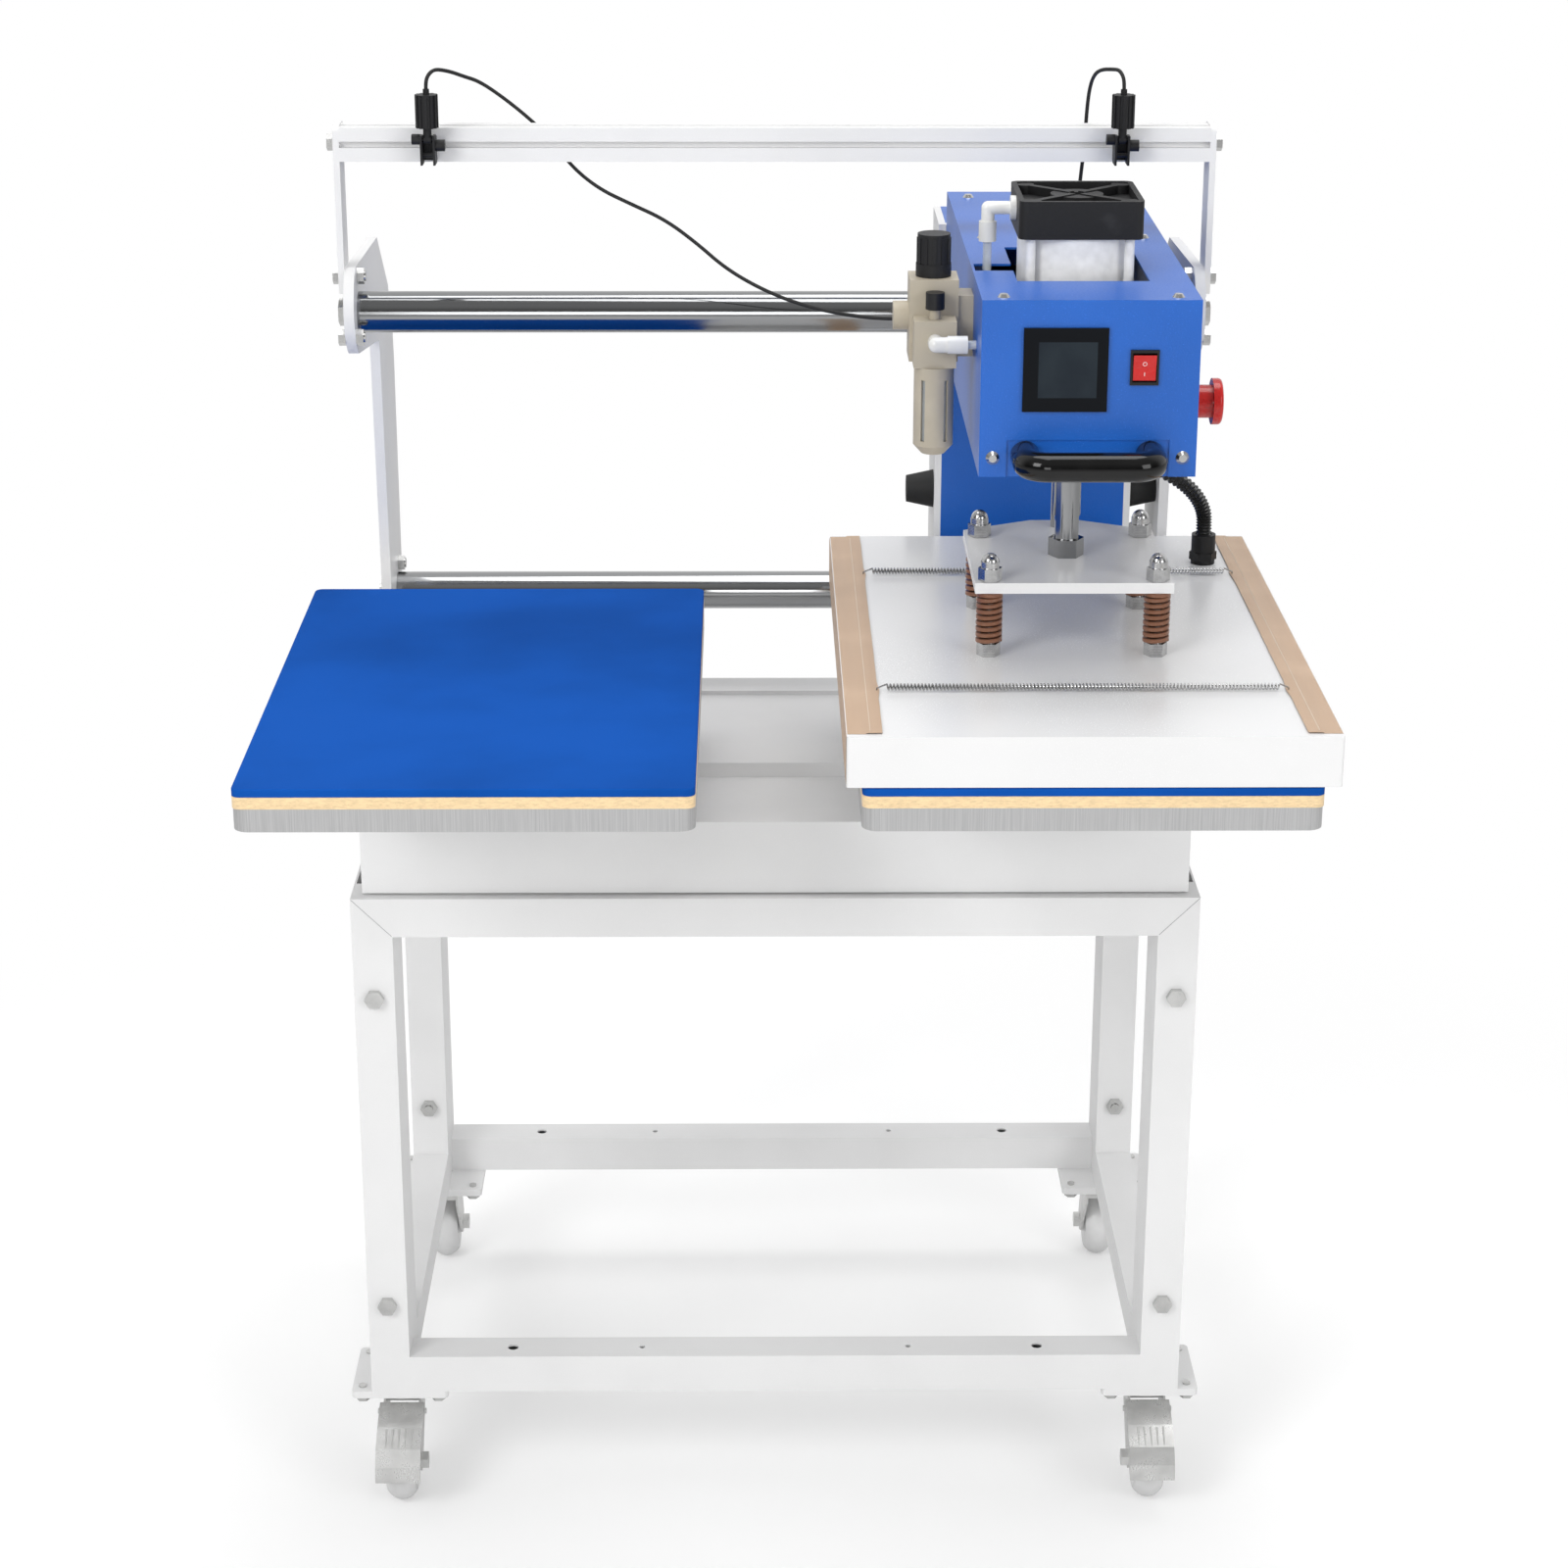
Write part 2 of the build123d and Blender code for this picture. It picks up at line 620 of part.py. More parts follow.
def caster_fork(x, y, way, braked):
    """Fork with its race, king pin and axle; way is the side on which the wheel trails."""
    axle_y = y + way * CASTER_TRAIL
    half = FORK_INNER / 2
    race_floor = plate_floor - CLEAR - RACE_HEIGHT
    crown = race_floor - 2 * FORK_SHEET
    race = rod_z(RACE_RADIUS, race_floor, plate_floor - CLEAR, x, y)
    pin = rod_z(KING_PIN_RADIUS, plate_floor - CLEAR, stand_floor - 1, x, y)
    bridge = block(x - half - FORK_SHEET, x + half + FORK_SHEET, y - way * 24, y + way * 22,
                   crown, race_floor)
    cheek_outline = [
        (y - way * 24, race_floor), (y - way * 24, crown - 6),
        (axle_y - way * 13, WHEEL_RADIUS - 8), (axle_y, WHEEL_RADIUS - 13),
        (axle_y + way * 12, WHEEL_RADIUS - 5), (axle_y + way * 13, WHEEL_RADIUS + 8),
        (y + way * (PEDAL_PIVOT_OUT + 8), PEDAL_PIVOT_HEIGHT - 8),
        (y + way * (PEDAL_PIVOT_OUT + 6), PEDAL_PIVOT_HEIGHT + 1),
        (y + way * (PEDAL_PIVOT_OUT - 1), PEDAL_PIVOT_HEIGHT + 4),
        (y + way * 22, race_floor),
    ]
    fork = race + pin + bridge
    for side in (-1, 1):
        inner = x + side * half
        outer = x + side * (half + FORK_SHEET)
        fork += slab_yz(cheek_outline, min(inner, outer), max(inner, outer))
    axle = rod_x(WHEEL_AXLE_RADIUS, x - half, x + half, axle_y, WHEEL_RADIUS)
    fork += axle
    for side in (-1, 1):
        face = x + side * (half + FORK_SHEET)
        fork += hex_x(JOINT_BOLT_FLATS, face, face + side * 7.0, axle_y, WHEEL_RADIUS)
    if braked:
        pivot_y = y + way * PEDAL_PIVOT_OUT
        reach = PEDAL_WIDTH / 2 + 2
        fork += rod_x(PEDAL_PIN_RADIUS, x - reach, x + reach, pivot_y, PEDAL_PIVOT_HEIGHT)
    return [fork]


def caster_wheel(x, y, way):
    """Wheel with a rounded tread and a hub on each side, turning on the fork's axle."""
    half = WHEEL_WIDTH / 2
    hub_half = FORK_INNER / 2 - TOUCH_GAP
    profile = Polyline(
        (0, 0), (hub_half, 0), (hub_half, WHEEL_HUB_RADIUS), (half - 3, WHEEL_HUB_RADIUS + 2),
        (half - 3, WHEEL_RADIUS - WHEEL_CROWN - 7), (half, WHEEL_RADIUS - WHEEL_CROWN - 3))
    crown = TangentArc((0, WHEEL_RADIUS), (half, WHEEL_RADIUS - WHEEL_CROWN - 3), tangent=(1, 0))
    closing = Line((0, WHEEL_RADIUS), (0, 0))
    half_section = make_face(profile + crown + closing)
    right = revolve(half_section, axis=Axis.X)
    wheel = right + mirror(right, about=Plane.YZ)
    wheel -= rod_x(WHEEL_AXLE_RADIUS + RUNNING, -half * 2, half * 2, 0, 0)
    return [Pos(x, y + way * CASTER_TRAIL, WHEEL_RADIUS) * wheel]


def brake_pedal(x, y, way):
    """Pressed pedal over the wheel, with two ears on the fork's pivot pin."""
    pivot_y = y + way * PEDAL_PIVOT_OUT
    axle_y = y + way * CASTER_TRAIL
    sheet = PEDAL_SHEET
    crest = PEDAL_PIVOT_HEIGHT + PEDAL_CREST
    brow = PEDAL_PIVOT_HEIGHT - PEDAL_BROW_DROP
    lead_y = pivot_y - way * PEDAL_LEAD
    outer = [
        (lead_y, crest), (axle_y + way * PEDAL_BROW, brow),
        (axle_y + way * PEDAL_KNEE, PEDAL_KNEE_HEIGHT), (axle_y + way * PEDAL_LIP, PEDAL_LIP_HEIGHT),
        (axle_y + way * PEDAL_TIP, PEDAL_TIP_HEIGHT)]
    inner = [
        (axle_y + way * (PEDAL_TIP - sheet), PEDAL_TIP_HEIGHT),
        (axle_y + way * (PEDAL_LIP - sheet), PEDAL_LIP_HEIGHT - sheet / 2),
        (axle_y + way * (PEDAL_KNEE - sheet / 2), PEDAL_KNEE_HEIGHT - sheet),
        (axle_y + way * (PEDAL_BROW - sheet / 2), brow - sheet), (lead_y, crest - sheet)]
    half = PEDAL_WIDTH / 2
    pedal = slab_yz(outer + inner, x - half, x + half)
    ear_y = pivot_y - way * PEDAL_EAR
    ear = [(ear_y, PEDAL_PIVOT_HEIGHT - PEDAL_EAR), (ear_y, PEDAL_PIVOT_HEIGHT + PEDAL_EAR),
           (lead_y, crest), (axle_y + way * PEDAL_BROW, brow),
           (axle_y + way * (PEDAL_KNEE - sheet), PEDAL_KNEE_HEIGHT - sheet / 2),
           (axle_y + way * (PEDAL_KNEE - PEDAL_EAR), PEDAL_KNEE_HEIGHT - PEDAL_EAR)]
    for side in (-1, 1):
        face = x + side * half
        near = face - side * sheet
        pedal += slab_yz(ear, min(face, near), max(face, near))
    pin_hole = rod_x(PEDAL_PIN_RADIUS + RUNNING, x - half - 1, x + half + 1, pivot_y,
                     PEDAL_PIVOT_HEIGHT)
    return [pedal - pin_hole]


# Tray and lower platens

def base_tray():
    """Closed sheet-metal tray on a narrow seam strip."""
    seam = block(-TRAY_HALF_WIDTH + 6, TRAY_HALF_WIDTH - 6, TRAY_FRONT + 6, tray_back - 6,
                 stand_top, stand_top + TRAY_SEAM)
    shell = block(-TRAY_HALF_WIDTH, TRAY_HALF_WIDTH, TRAY_FRONT, tray_back,
                  stand_top + TRAY_SEAM, tray_top)
    hollow = block(-TRAY_HALF_WIDTH + TRAY_SHEET, TRAY_HALF_WIDTH - TRAY_SHEET,
                   TRAY_FRONT + TRAY_SHEET, tray_back - TRAY_SHEET,
                   stand_top + TRAY_SEAM + TRAY_SHEET, tray_top - TRAY_SHEET)
    return [shell + seam - hollow]


def platen_supports():
    """Two cross bars on the tray, and gusset cheeks with rails under each platen."""
    front_bar = block(-TRAY_HALF_WIDTH, TRAY_HALF_WIDTH, CROSS_BAR_FRONT,
                      CROSS_BAR_FRONT + CROSS_BAR_DEPTH, tray_top, cross_bar_top)
    rear_bar = block(-TRAY_HALF_WIDTH, TRAY_HALF_WIDTH, tray_back - REAR_BAR_DEPTH, tray_back,
                     tray_top, tray_top + REAR_BAR_HEIGHT)
    solids = [front_bar, rear_bar]
    rail_floor = BOARD_UNDERSIDE - RAIL_HEIGHT
    bar_back = CROSS_BAR_FRONT + CROSS_BAR_DEPTH
    outline = [
        (TRAY_FRONT, tray_top), (CROSS_BAR_FRONT, tray_top),
        (CROSS_BAR_FRONT, cross_bar_top), (bar_back, cross_bar_top), (bar_back, tray_top),
        (GUSSET_BACK, tray_top), (GUSSET_BACK, rail_floor), (GUSSET_FRONT, rail_floor)]
    for station in (-STATION, STATION):
        for side in (-1, 1):
            x = station + side * RAIL_HALF_SPAN
            solids.append(slab_yz(outline, x - GUSSET / 2, x + GUSSET / 2))
            rail = block(x - RAIL_WIDTH / 2, x + RAIL_WIDTH / 2, RAIL_FRONT, RAIL_BACK,
                         rail_floor, BOARD_UNDERSIDE)
            bore = block(x - RAIL_WIDTH / 2 + TUBE_WALL, x + RAIL_WIDTH / 2 - TUBE_WALL,
                         RAIL_FRONT - 1, RAIL_BACK + 1,
                         rail_floor + TUBE_WALL, BOARD_UNDERSIDE - TUBE_WALL)
            solids.append(rail - bore)
    return solids


def platen_layer(z0, z1, corner):
    """One layer of both lower platens."""
    return [rounded_slab(PLATEN_WIDTH, PLATEN_FRONT, platen_back, z0, z1, corner, station)
            for station in (-STATION, STATION)]


# Side plates and shafts

def side_plate():
    """The left hook-shaped plate that carries both guide shafts."""
    nose_middle = (NOSE_TOP + NOSE_UNDER) / 2
    back = [(ARM_BACK - inset, NOSE_TOP - drop)
            for inset, drop in zip(ARM_BACK_INSETS, ARM_BACK_DROPS)]
    nose_top = (NOSE_FRONT + NOSE_LEAD_TOP, NOSE_TOP)
    nose_under = (NOSE_FRONT + NOSE_LEAD_UNDER, NOSE_UNDER)
    outline = Polyline(nose_top, *back, (ARM_BACK, stand_top), (ARM_FRONT_FOOT, stand_top),
                       (ARM_FRONT_TOP, ARM_FRONT_TOP_Z), nose_under)
    nose = ThreePointArc(nose_under, (NOSE_FRONT, nose_middle), nose_top)
    face = Plane.YZ * make_face(outline + nose)
    return Pos(-arm_outer, 0, 0) * extrude(face, amount=ARM)


def arm_bolt_places():
    """Places (Y, Z) of the bolts that hold a side plate to the tray."""
    mid = stand_top + TRAY_HEIGHT / 2
    y = tray_back - ARM_BOLT_INSET
    return [(y, mid - 18), (y, mid + 18), (y - 28, mid)]


def side_plates():
    """Both side plates, drilled for shaft bolts, clamp bolts and tray bolts."""
    plate = side_plate()
    holes = [(UPPER_SHAFT_Y, UPPER_SHAFT_Z, SHAFT_BOLT_RADIUS),
             (LOWER_SHAFT_Y, LOWER_SHAFT_Z, SHAFT_BOLT_RADIUS),
             (POST_BOLT_Y, POST_BOLT_Z, FLANGE_BOLT_RADIUS),
             (NOSE_BOLT_Y, NOSE_BOLT_Z, FLANGE_BOLT_RADIUS),
             (LOWER_SHAFT_Y + 10, LOWER_SHAFT_Z + LOW_BOLT_RISE, FLANGE_BOLT_RADIUS)]
    holes += [(y, z, FLANGE_BOLT_RADIUS) for y, z in arm_bolt_places()]
    for y, z, radius in holes:
        plate -= rod_x(radius, -arm_outer - 1, -ARM_INNER + 1, y, z)
    return [plate, mirrored(plate)]


def side_bolts():
    """Shaft end bolts, post and nose bolts with nuts, and tray bolts."""
    solids = []
    for y, z in ((UPPER_SHAFT_Y, UPPER_SHAFT_Z), (LOWER_SHAFT_Y, LOWER_SHAFT_Z)):
        head = hex_x(SHAFT_BOLT_FLATS, -arm_outer - SHAFT_BOLT_HEAD, -arm_outer, y, z)
        solids.append(head + rod_x(SHAFT_BOLT_RADIUS, -arm_outer, -ARM_INNER, y, z))
    low_bolt = (LOWER_SHAFT_Y + 10, LOWER_SHAFT_Z + LOW_BOLT_RISE, 0.0)
    for y, z, under in ((POST_BOLT_Y, POST_BOLT_Z, POST), (NOSE_BOLT_Y, NOSE_BOLT_Z, 0.0), low_bolt):
        seat = -arm_outer - under
        head = hex_x(FLANGE_BOLT_FLATS, seat - FLANGE_NUT, seat, y, z)
        shank = rod_x(FLANGE_BOLT_RADIUS, seat, -ARM_INNER + FLANGE_NUT + 1.5, y, z)
        nut = hex_x(FLANGE_BOLT_FLATS, -ARM_INNER, -ARM_INNER + FLANGE_NUT, y, z)
        nut -= rod_x(FLANGE_BOLT_RADIUS, -ARM_INNER - 1, -ARM_INNER + FLANGE_NUT + 2, y, z)
        solids += [head + shank, nut]
    for y, z in arm_bolt_places():
        head = hex_x(FLANGE_BOLT_FLATS, -arm_outer - FLANGE_NUT, -arm_outer, y, z)
        solids.append(head + rod_x(FLANGE_BOLT_RADIUS, -arm_outer, -ARM_INNER, y, z))
    bar_z = BAR_TOP - BAR / 2
    bar_y = BAR_FRONT + BAR / 2
    seat = -arm_outer - POST
    head = hex_x(FLANGE_BOLT_FLATS, seat - FLANGE_NUT, seat, bar_y, bar_z)
    solids.append(head + rod_x(FLANGE_BOLT_RADIUS, seat, -arm_outer + 20, bar_y, bar_z))
    return solids + [mirrored(solid) for solid in solids]


def guide_shafts():
    """Two chromed shafts between the side plates, with tapped ends."""
    return [rod_x(SHAFT_RADIUS, -ARM_INNER, ARM_INNER, y, z)
            for y, z in ((UPPER_SHAFT_Y, UPPER_SHAFT_Z), (LOWER_SHAFT_Y, LOWER_SHAFT_Z))]


# Laser bar

def laser_bar():
    """Slotted bar between the posts, with one slot on each long face."""
    y0 = BAR_FRONT
    y1 = BAR_FRONT + BAR
    z0 = BAR_TOP - BAR
    middle_y = (y0 + y1) / 2
    middle_z = (z0 + BAR_TOP) / 2
    half_slot = BAR_SLOT / 2
    bar = block(-arm_outer, arm_outer, y0, y1, z0, BAR_TOP)
    reach = arm_outer + 1
    bar -= block(-reach, reach, y0 - 1, y0 + BAR_SLOT_DEPTH, middle_z - half_slot,
                 middle_z + half_slot)
    bar -= block(-reach, reach, y1 - BAR_SLOT_DEPTH, y1 + 1, middle_z - half_slot,
                 middle_z + half_slot)
    bar -= block(-reach, reach, middle_y - half_slot, middle_y + half_slot,
                 BAR_TOP - BAR_SLOT_DEPTH, BAR_TOP + 1)
    bar -= block(-reach, reach, middle_y - half_slot, middle_y + half_slot,
                 z0 - 1, z0 + BAR_SLOT_DEPTH)
    for side in (-1, 1):
        bar -= rod_x(FLANGE_BOLT_RADIUS, side * arm_outer, side * (arm_outer - 21),
                     middle_y, middle_z)
    return [bar]


def laser_posts():
    """Flat posts that hold the bar on the side plates."""
    y0 = BAR_FRONT
    y1 = BAR_FRONT + POST_DEPTH
    post = block(-arm_outer - POST, -arm_outer, y0, y1, POST_FOOT, BAR_TOP + 2)
    post = fillet(post.edges().filter_by(Axis.X).group_by(Axis.Z)[-1], 6.0)
    post -= rod_x(FLANGE_BOLT_RADIUS, -arm_outer - POST - 1, -arm_outer + 1, POST_BOLT_Y,
                  POST_BOLT_Z)
    post -= rod_x(FLANGE_BOLT_RADIUS, -arm_outer - POST - 1, -arm_outer + 1,
                  BAR_FRONT + BAR / 2, BAR_TOP - BAR / 2)
    return [post, mirrored(post)]


def laser_clamp(x):
    """Clamp fork on the bar's front slot, with its thumb screws."""
    half = CLAMP_GAP / 2
    foot = BAR_TOP - BAR
    pivot = laser_pivot_z
    middle_z = BAR_TOP - BAR / 2
    base = block(x - half - CLAMP_CHEEK, x + half + CLAMP_CHEEK, BAR_FRONT - 3, BAR_FRONT,
                 foot + 2, middle_z + 9)
    cheek = [(BAR_FRONT - 3, foot), (laser_y - 5, foot), (laser_y - 6, pivot + 4),
             (laser_y + 5, pivot + 4), (BAR_FRONT - 3, middle_z + 9)]
    clamp = base
    for side in (-1, 1):
        inner = x + side * half
        outer = x + side * (half + CLAMP_CHEEK)
        clamp += slab_yz(cheek, min(inner, outer), max(inner, outer))
    clamp += rod_x(CLAMP_PIN_RADIUS, x - half, x + half, laser_y, pivot)
    clamp += rod_x(CLAMP_PIN_RADIUS, x - half, x + half, laser_y + 2, foot + 9)
    edge = half + CLAMP_CHEEK
    clamp += rod_x(5.5, x + edge, x + edge + 9, laser_y + 2, foot + 18)
    clamp += rod_x(5.0, x - edge - 8, x - edge, laser_y, pivot)
    return clamp


def laser_brackets():
    return [laser_clamp(-LASER_X), laser_clamp(LASER_X)]


def laser_module(x):
    """Finned laser body on a neck that pivots between the clamp's cheeks."""
    body = rod_z(LASER_RADIUS - 1.2, laser_floor, laser_top, x, laser_y)
    fins = 12
    for index in range(fins):
        turn = 360 * index / fins
        fin = Pos(x, laser_y, (laser_floor + laser_top) / 2) * Rot(0, 0, turn) * Pos(
            LASER_RADIUS - 1.4, 0, 0) * Box(2.4, 2.4, LASER_LENGTH)
        body += fin
    neck = rod_z(LASER_NECK_RADIUS, laser_pivot_z, laser_floor, x, laser_y)
    eye = rod_x(LASER_NECK_RADIUS, x - 3.5, x + 3.5, laser_y, laser_pivot_z)
    stub = rod_z(3.0, laser_top, laser_top + LASER_STUB, x, laser_y)
    hole = rod_x(CLAMP_PIN_RADIUS + RUNNING, x - 6, x + 6, laser_y, laser_pivot_z)
    return [body + neck + eye + stub - hole]


def cable_route(turns, x, end_x, end_z):
    """The turns laid out from a module's stub, drawn to the cable's entry on the head."""
    foot = laser_top + LASER_STUB
    stretch_x = (end_x - x) / turns[-1][0]
    stretch_z = (end_z - foot) / turns[-1][2]
    return [(x + dx * stretch_x, laser_y + dy, foot + dz * stretch_z) for dx, dy, dz in turns]


def laser_cables():
    """Routes of both laser cables: into the casing's left side, and down through its top."""
    left = cable_route(LEFT_CABLE_TURNS, -LASER_X, STATION - half_casing,
                       CASING_FLOOR + LEFT_ENTRY_HEIGHT)
    right = cable_route(RIGHT_CABLE_TURNS, LASER_X, STATION + RIGHT_ENTRY_X, casing_top)
    return left, right


def arc_radii(route):
    """The radius of each bend: 0.45 of the shorter run over the tangent of half the turn."""
    radii = []
    for before, here, after in zip(route, route[1:], route[2:]):
        first = Vector(*here) - Vector(*before)
        second = Vector(*after) - Vector(*here)
        turn = math.radians(first.get_angle(second))
        radii.append(0.45 * min(first.length, second.length) / math.tan(turn / 2))
    return radii


def cable(route, label):
    """A round cable along straight runs joined by tangent arcs."""
    radii = arc_radii(route)
    path = FilletPolyline(*route, radius=radii)
    start = Plane(origin=route[0], z_dir=Vector(*route[1]) - Vector(*route[0]))
    tube = sweep(start * Circle(CABLE_RADIUS), path=path)
    ideal = math.pi * CABLE_RADIUS ** 2 * path.length
    print(label, "length", round(path.length), "least bend radius", round(min(radii), 1),
          "volume ratio", round(tube.volume / ideal, 4))
    return [tube]


# Head casing

def head_casing():
    """Folded cover: top, front and both sides, open below and closed behind."""
    outer = block(-half_casing, half_casing, CASING_FRONT, casing_back, CASING_FLOOR, casing_top)
    inner = block(-half_casing + CASING_SHEET, half_casing - CASING_SHEET,
                  CASING_FRONT + CASING_SHEET, casing_back - CASING_SHEET,
                  CASING_FLOOR - 1, casing_top - CASING_SHEET)
    shell = outer - inner
    shell -= block(-CUTOUT_HALF_WIDTH, CUTOUT_HALF_WIDTH, CUTOUT_FRONT,
                   CUTOUT_FRONT + CUTOUT_DEPTH, casing_top - CASING_SHEET - 1, casing_top + 1)
    shell -= block(-CUTOUT_HALF_WIDTH - TUBE_NOTCH_WIDTH, -CUTOUT_HALF_WIDTH + 1,
                   TUBE_NOTCH_FRONT, TUBE_NOTCH_FRONT + TUBE_NOTCH_DEPTH,
                   casing_top - CASING_SHEET - 1, casing_top + 1)
    shell -= rod_x(SHAFT_WINDOW_RADIUS, -half_casing - 1, half_casing + 1, UPPER_SHAFT_Y,
                   UPPER_SHAFT_Z)
    shell -= block(DISPLAY_X - DISPLAY_SIZE / 2 + 6, DISPLAY_X + DISPLAY_SIZE / 2 - 6,
                   CASING_FRONT - 1, CASING_FRONT + CASING_SHEET + 1,
                   DISPLAY_Z - DISPLAY_SIZE / 2 + 6, DISPLAY_Z + DISPLAY_SIZE / 2 - 6)
    cut_w = ROCKER_BEZEL_WIDTH / 2 - ROCKER_CUTOUT_INSET
    cut_h = ROCKER_BEZEL_HEIGHT / 2 - ROCKER_CUTOUT_INSET
    shell -= block(ROCKER_X - cut_w, ROCKER_X + cut_w, CASING_FRONT - 1,
                   CASING_FRONT + CASING_SHEET + 1, ROCKER_Z - cut_h, ROCKER_Z + cut_h)
    shell -= rod_x(ESTOP_STEM_RADIUS + CLEAR, half_casing - CASING_SHEET - 1, half_casing + 1,
                   ESTOP_Y, ESTOP_Z)
    shell -= block(-GRIP_PANEL_WIDTH / 2, GRIP_PANEL_WIDTH / 2, CASING_FRONT - 1,
                   CASING_FRONT + CASING_SHEET + 1, CASING_FLOOR - 1,
                   CASING_FLOOR + GRIP_PANEL_HEIGHT)
    grip_panel = block(-GRIP_PANEL_WIDTH / 2 - 8, GRIP_PANEL_WIDTH / 2 + 8,
                       CASING_FRONT + CASING_SHEET, CASING_FRONT + 2 * CASING_SHEET,
                       CASING_FLOOR, CASING_FLOOR + GRIP_PANEL_HEIGHT + 8)
    return at_head(shell, grip_panel)


def grip():
    """U-shaped grip along the lower front edge."""
    y0 = CASING_FRONT + CASING_SHEET
    y1 = CASING_FRONT - GRIP_REACH
    z = CASING_FLOOR + GRIP_HEIGHT
    route = [(-GRIP_HALF_SPAN, y0, z), (-GRIP_HALF_SPAN, y1, z), (GRIP_HALF_SPAN, y1, z),
             (GRIP_HALF_SPAN, y0, z)]
    path = FilletPolyline(*route, radius=GRIP_BEND)
    start = Plane(origin=route[0], z_dir=(0, -1, 0))
    return at_head(sweep(start * Circle(GRIP_RADIUS), path=path))


def casing_screws():
    """Domed screws on the casing's top and front."""
    solids = []
    tip = SCREW_RADIUS * SCREW_TAPER
    for side in (-1, 1):
        x = side * (half_casing - TOP_SCREW_INSET)
        for row in TOP_SCREW_ROWS:
            solids.append(cone_z(SCREW_RADIUS, tip, casing_top, casing_top + SCREW_DOME, x,
                                 CASING_FRONT + row))
    for side in (-1, 1):
        dome = Rot(90, 0, 0) * Cone(FRONT_SCREW_RADIUS, tip, SCREW_DOME)
        place = Pos(side * (half_casing - FRONT_SCREW_INSET), CASING_FRONT - SCREW_DOME / 2,
                    CASING_FLOOR + FRONT_SCREW_HEIGHT)
        solids.append(place * dome)
    return at_head(*solids)


def display():
    """Square touch display: glass front proud of the casing, body behind."""
    half = DISPLAY_SIZE / 2
    front = block(DISPLAY_X - half, DISPLAY_X + half, CASING_FRONT - DISPLAY_PROUD, CASING_FRONT,
                  DISPLAY_Z - half, DISPLAY_Z + half)
    body = block(DISPLAY_X - half + 7, DISPLAY_X + half - 7, CASING_FRONT,
                 CASING_FRONT + DISPLAY_BODY, DISPLAY_Z - half + 7, DISPLAY_Z + half - 7)
    return at_head(front + body)


def rocker_bezel():
    """Frame of the mains switch with its housing behind the panel."""
    half_w = ROCKER_BEZEL_WIDTH / 2
    half_h = ROCKER_BEZEL_HEIGHT / 2
    flange = block(ROCKER_X - half_w, ROCKER_X + half_w, CASING_FRONT - ROCKER_PROUD,
                   CASING_FRONT, ROCKER_Z - half_h, ROCKER_Z + half_h)
    body_w = half_w - ROCKER_HOUSING_INSET
    body_h = half_h - ROCKER_HOUSING_INSET
    housing = block(ROCKER_X - body_w, ROCKER_X + body_w, CASING_FRONT,
                    CASING_FRONT + 26, ROCKER_Z - body_h, ROCKER_Z + body_h)
    reach = ROCKER_WIDTH / 2 + ROCKER_PLAY
    well = block(ROCKER_X - reach, ROCKER_X + reach,
                 CASING_FRONT - ROCKER_PROUD - 1, CASING_FRONT + 12,
                 ROCKER_Z - ROCKER_HEIGHT / 2 - 1.4, ROCKER_Z + ROCKER_HEIGHT / 2 + 1.4)
    pin = rod_x(ROCKER_PIN_RADIUS, ROCKER_X - reach, ROCKER_X + reach, CASING_FRONT, ROCKER_Z)
    return at_head(flange + housing - well + pin)


def rocker_button():
    """Rocker with two faces that meet at a shallow angle, on the housing's pin."""
    y = CASING_FRONT
    half = ROCKER_HEIGHT / 2
    front = CASING_FRONT - ROCKER_PROUD
    outline = [(front - 2.4, ROCKER_Z + half), (front + 0.6, ROCKER_Z),
               (front + 1.2, ROCKER_Z - half), (y + 4, ROCKER_Z - half * 0.62),
               (y + 5, ROCKER_Z), (y + 4, ROCKER_Z + half * 0.62)]
    body = slab_yz(outline, ROCKER_X - ROCKER_WIDTH / 2, ROCKER_X + ROCKER_WIDTH / 2)
    body -= rod_x(ROCKER_PIN_RADIUS + RUNNING, ROCKER_X - ROCKER_WIDTH, ROCKER_X + ROCKER_WIDTH, y, ROCKER_Z)
    return at_head(body)


def estop_base():
    """Metal collar outside and contact block inside of the emergency stop."""
    wall = half_casing
    collar = rod_x(ESTOP_COLLAR_RADIUS, wall, wall + ESTOP_COLLAR, ESTOP_Y, ESTOP_Z)
    thread = rod_x(ESTOP_STEM_RADIUS, wall - 6, wall, ESTOP_Y, ESTOP_Z)
    contact = block(wall - 6, wall - CASING_SHEET, ESTOP_Y - 14, ESTOP_Y + 14, ESTOP_Z - 14,
                    ESTOP_Z + 14)
    bore = rod_x(6.0 + RUNNING, wall - 5, wall + ESTOP_COLLAR + 1, ESTOP_Y, ESTOP_Z)
    return at_head(collar + thread + contact - bore)


def estop_button():
    """Red mushroom head with its stem."""
    wall = half_casing
    collar_face = wall + ESTOP_COLLAR
    body_start = collar_face + ESTOP_TRAVEL + TOUCH_GAP
    tip = wall + ESTOP_REACH
    rim = tip - 9
    button = rod_x(6.0, wall + ESTOP_TRAVEL + 1, body_start + 1, ESTOP_Y, ESTOP_Z)
    button += rod_x(ESTOP_BODY_RADIUS, body_start, rim + 1, ESTOP_Y, ESTOP_Z)
    button += rod_x(ESTOP_HEAD_RADIUS, rim, tip, ESTOP_Y, ESTOP_Z)
    button = fillet(button.edges().filter_by(GeomType.CIRCLE).group_by(Axis.X)[-1], 3.5)
    return at_head(button)


# Head structure

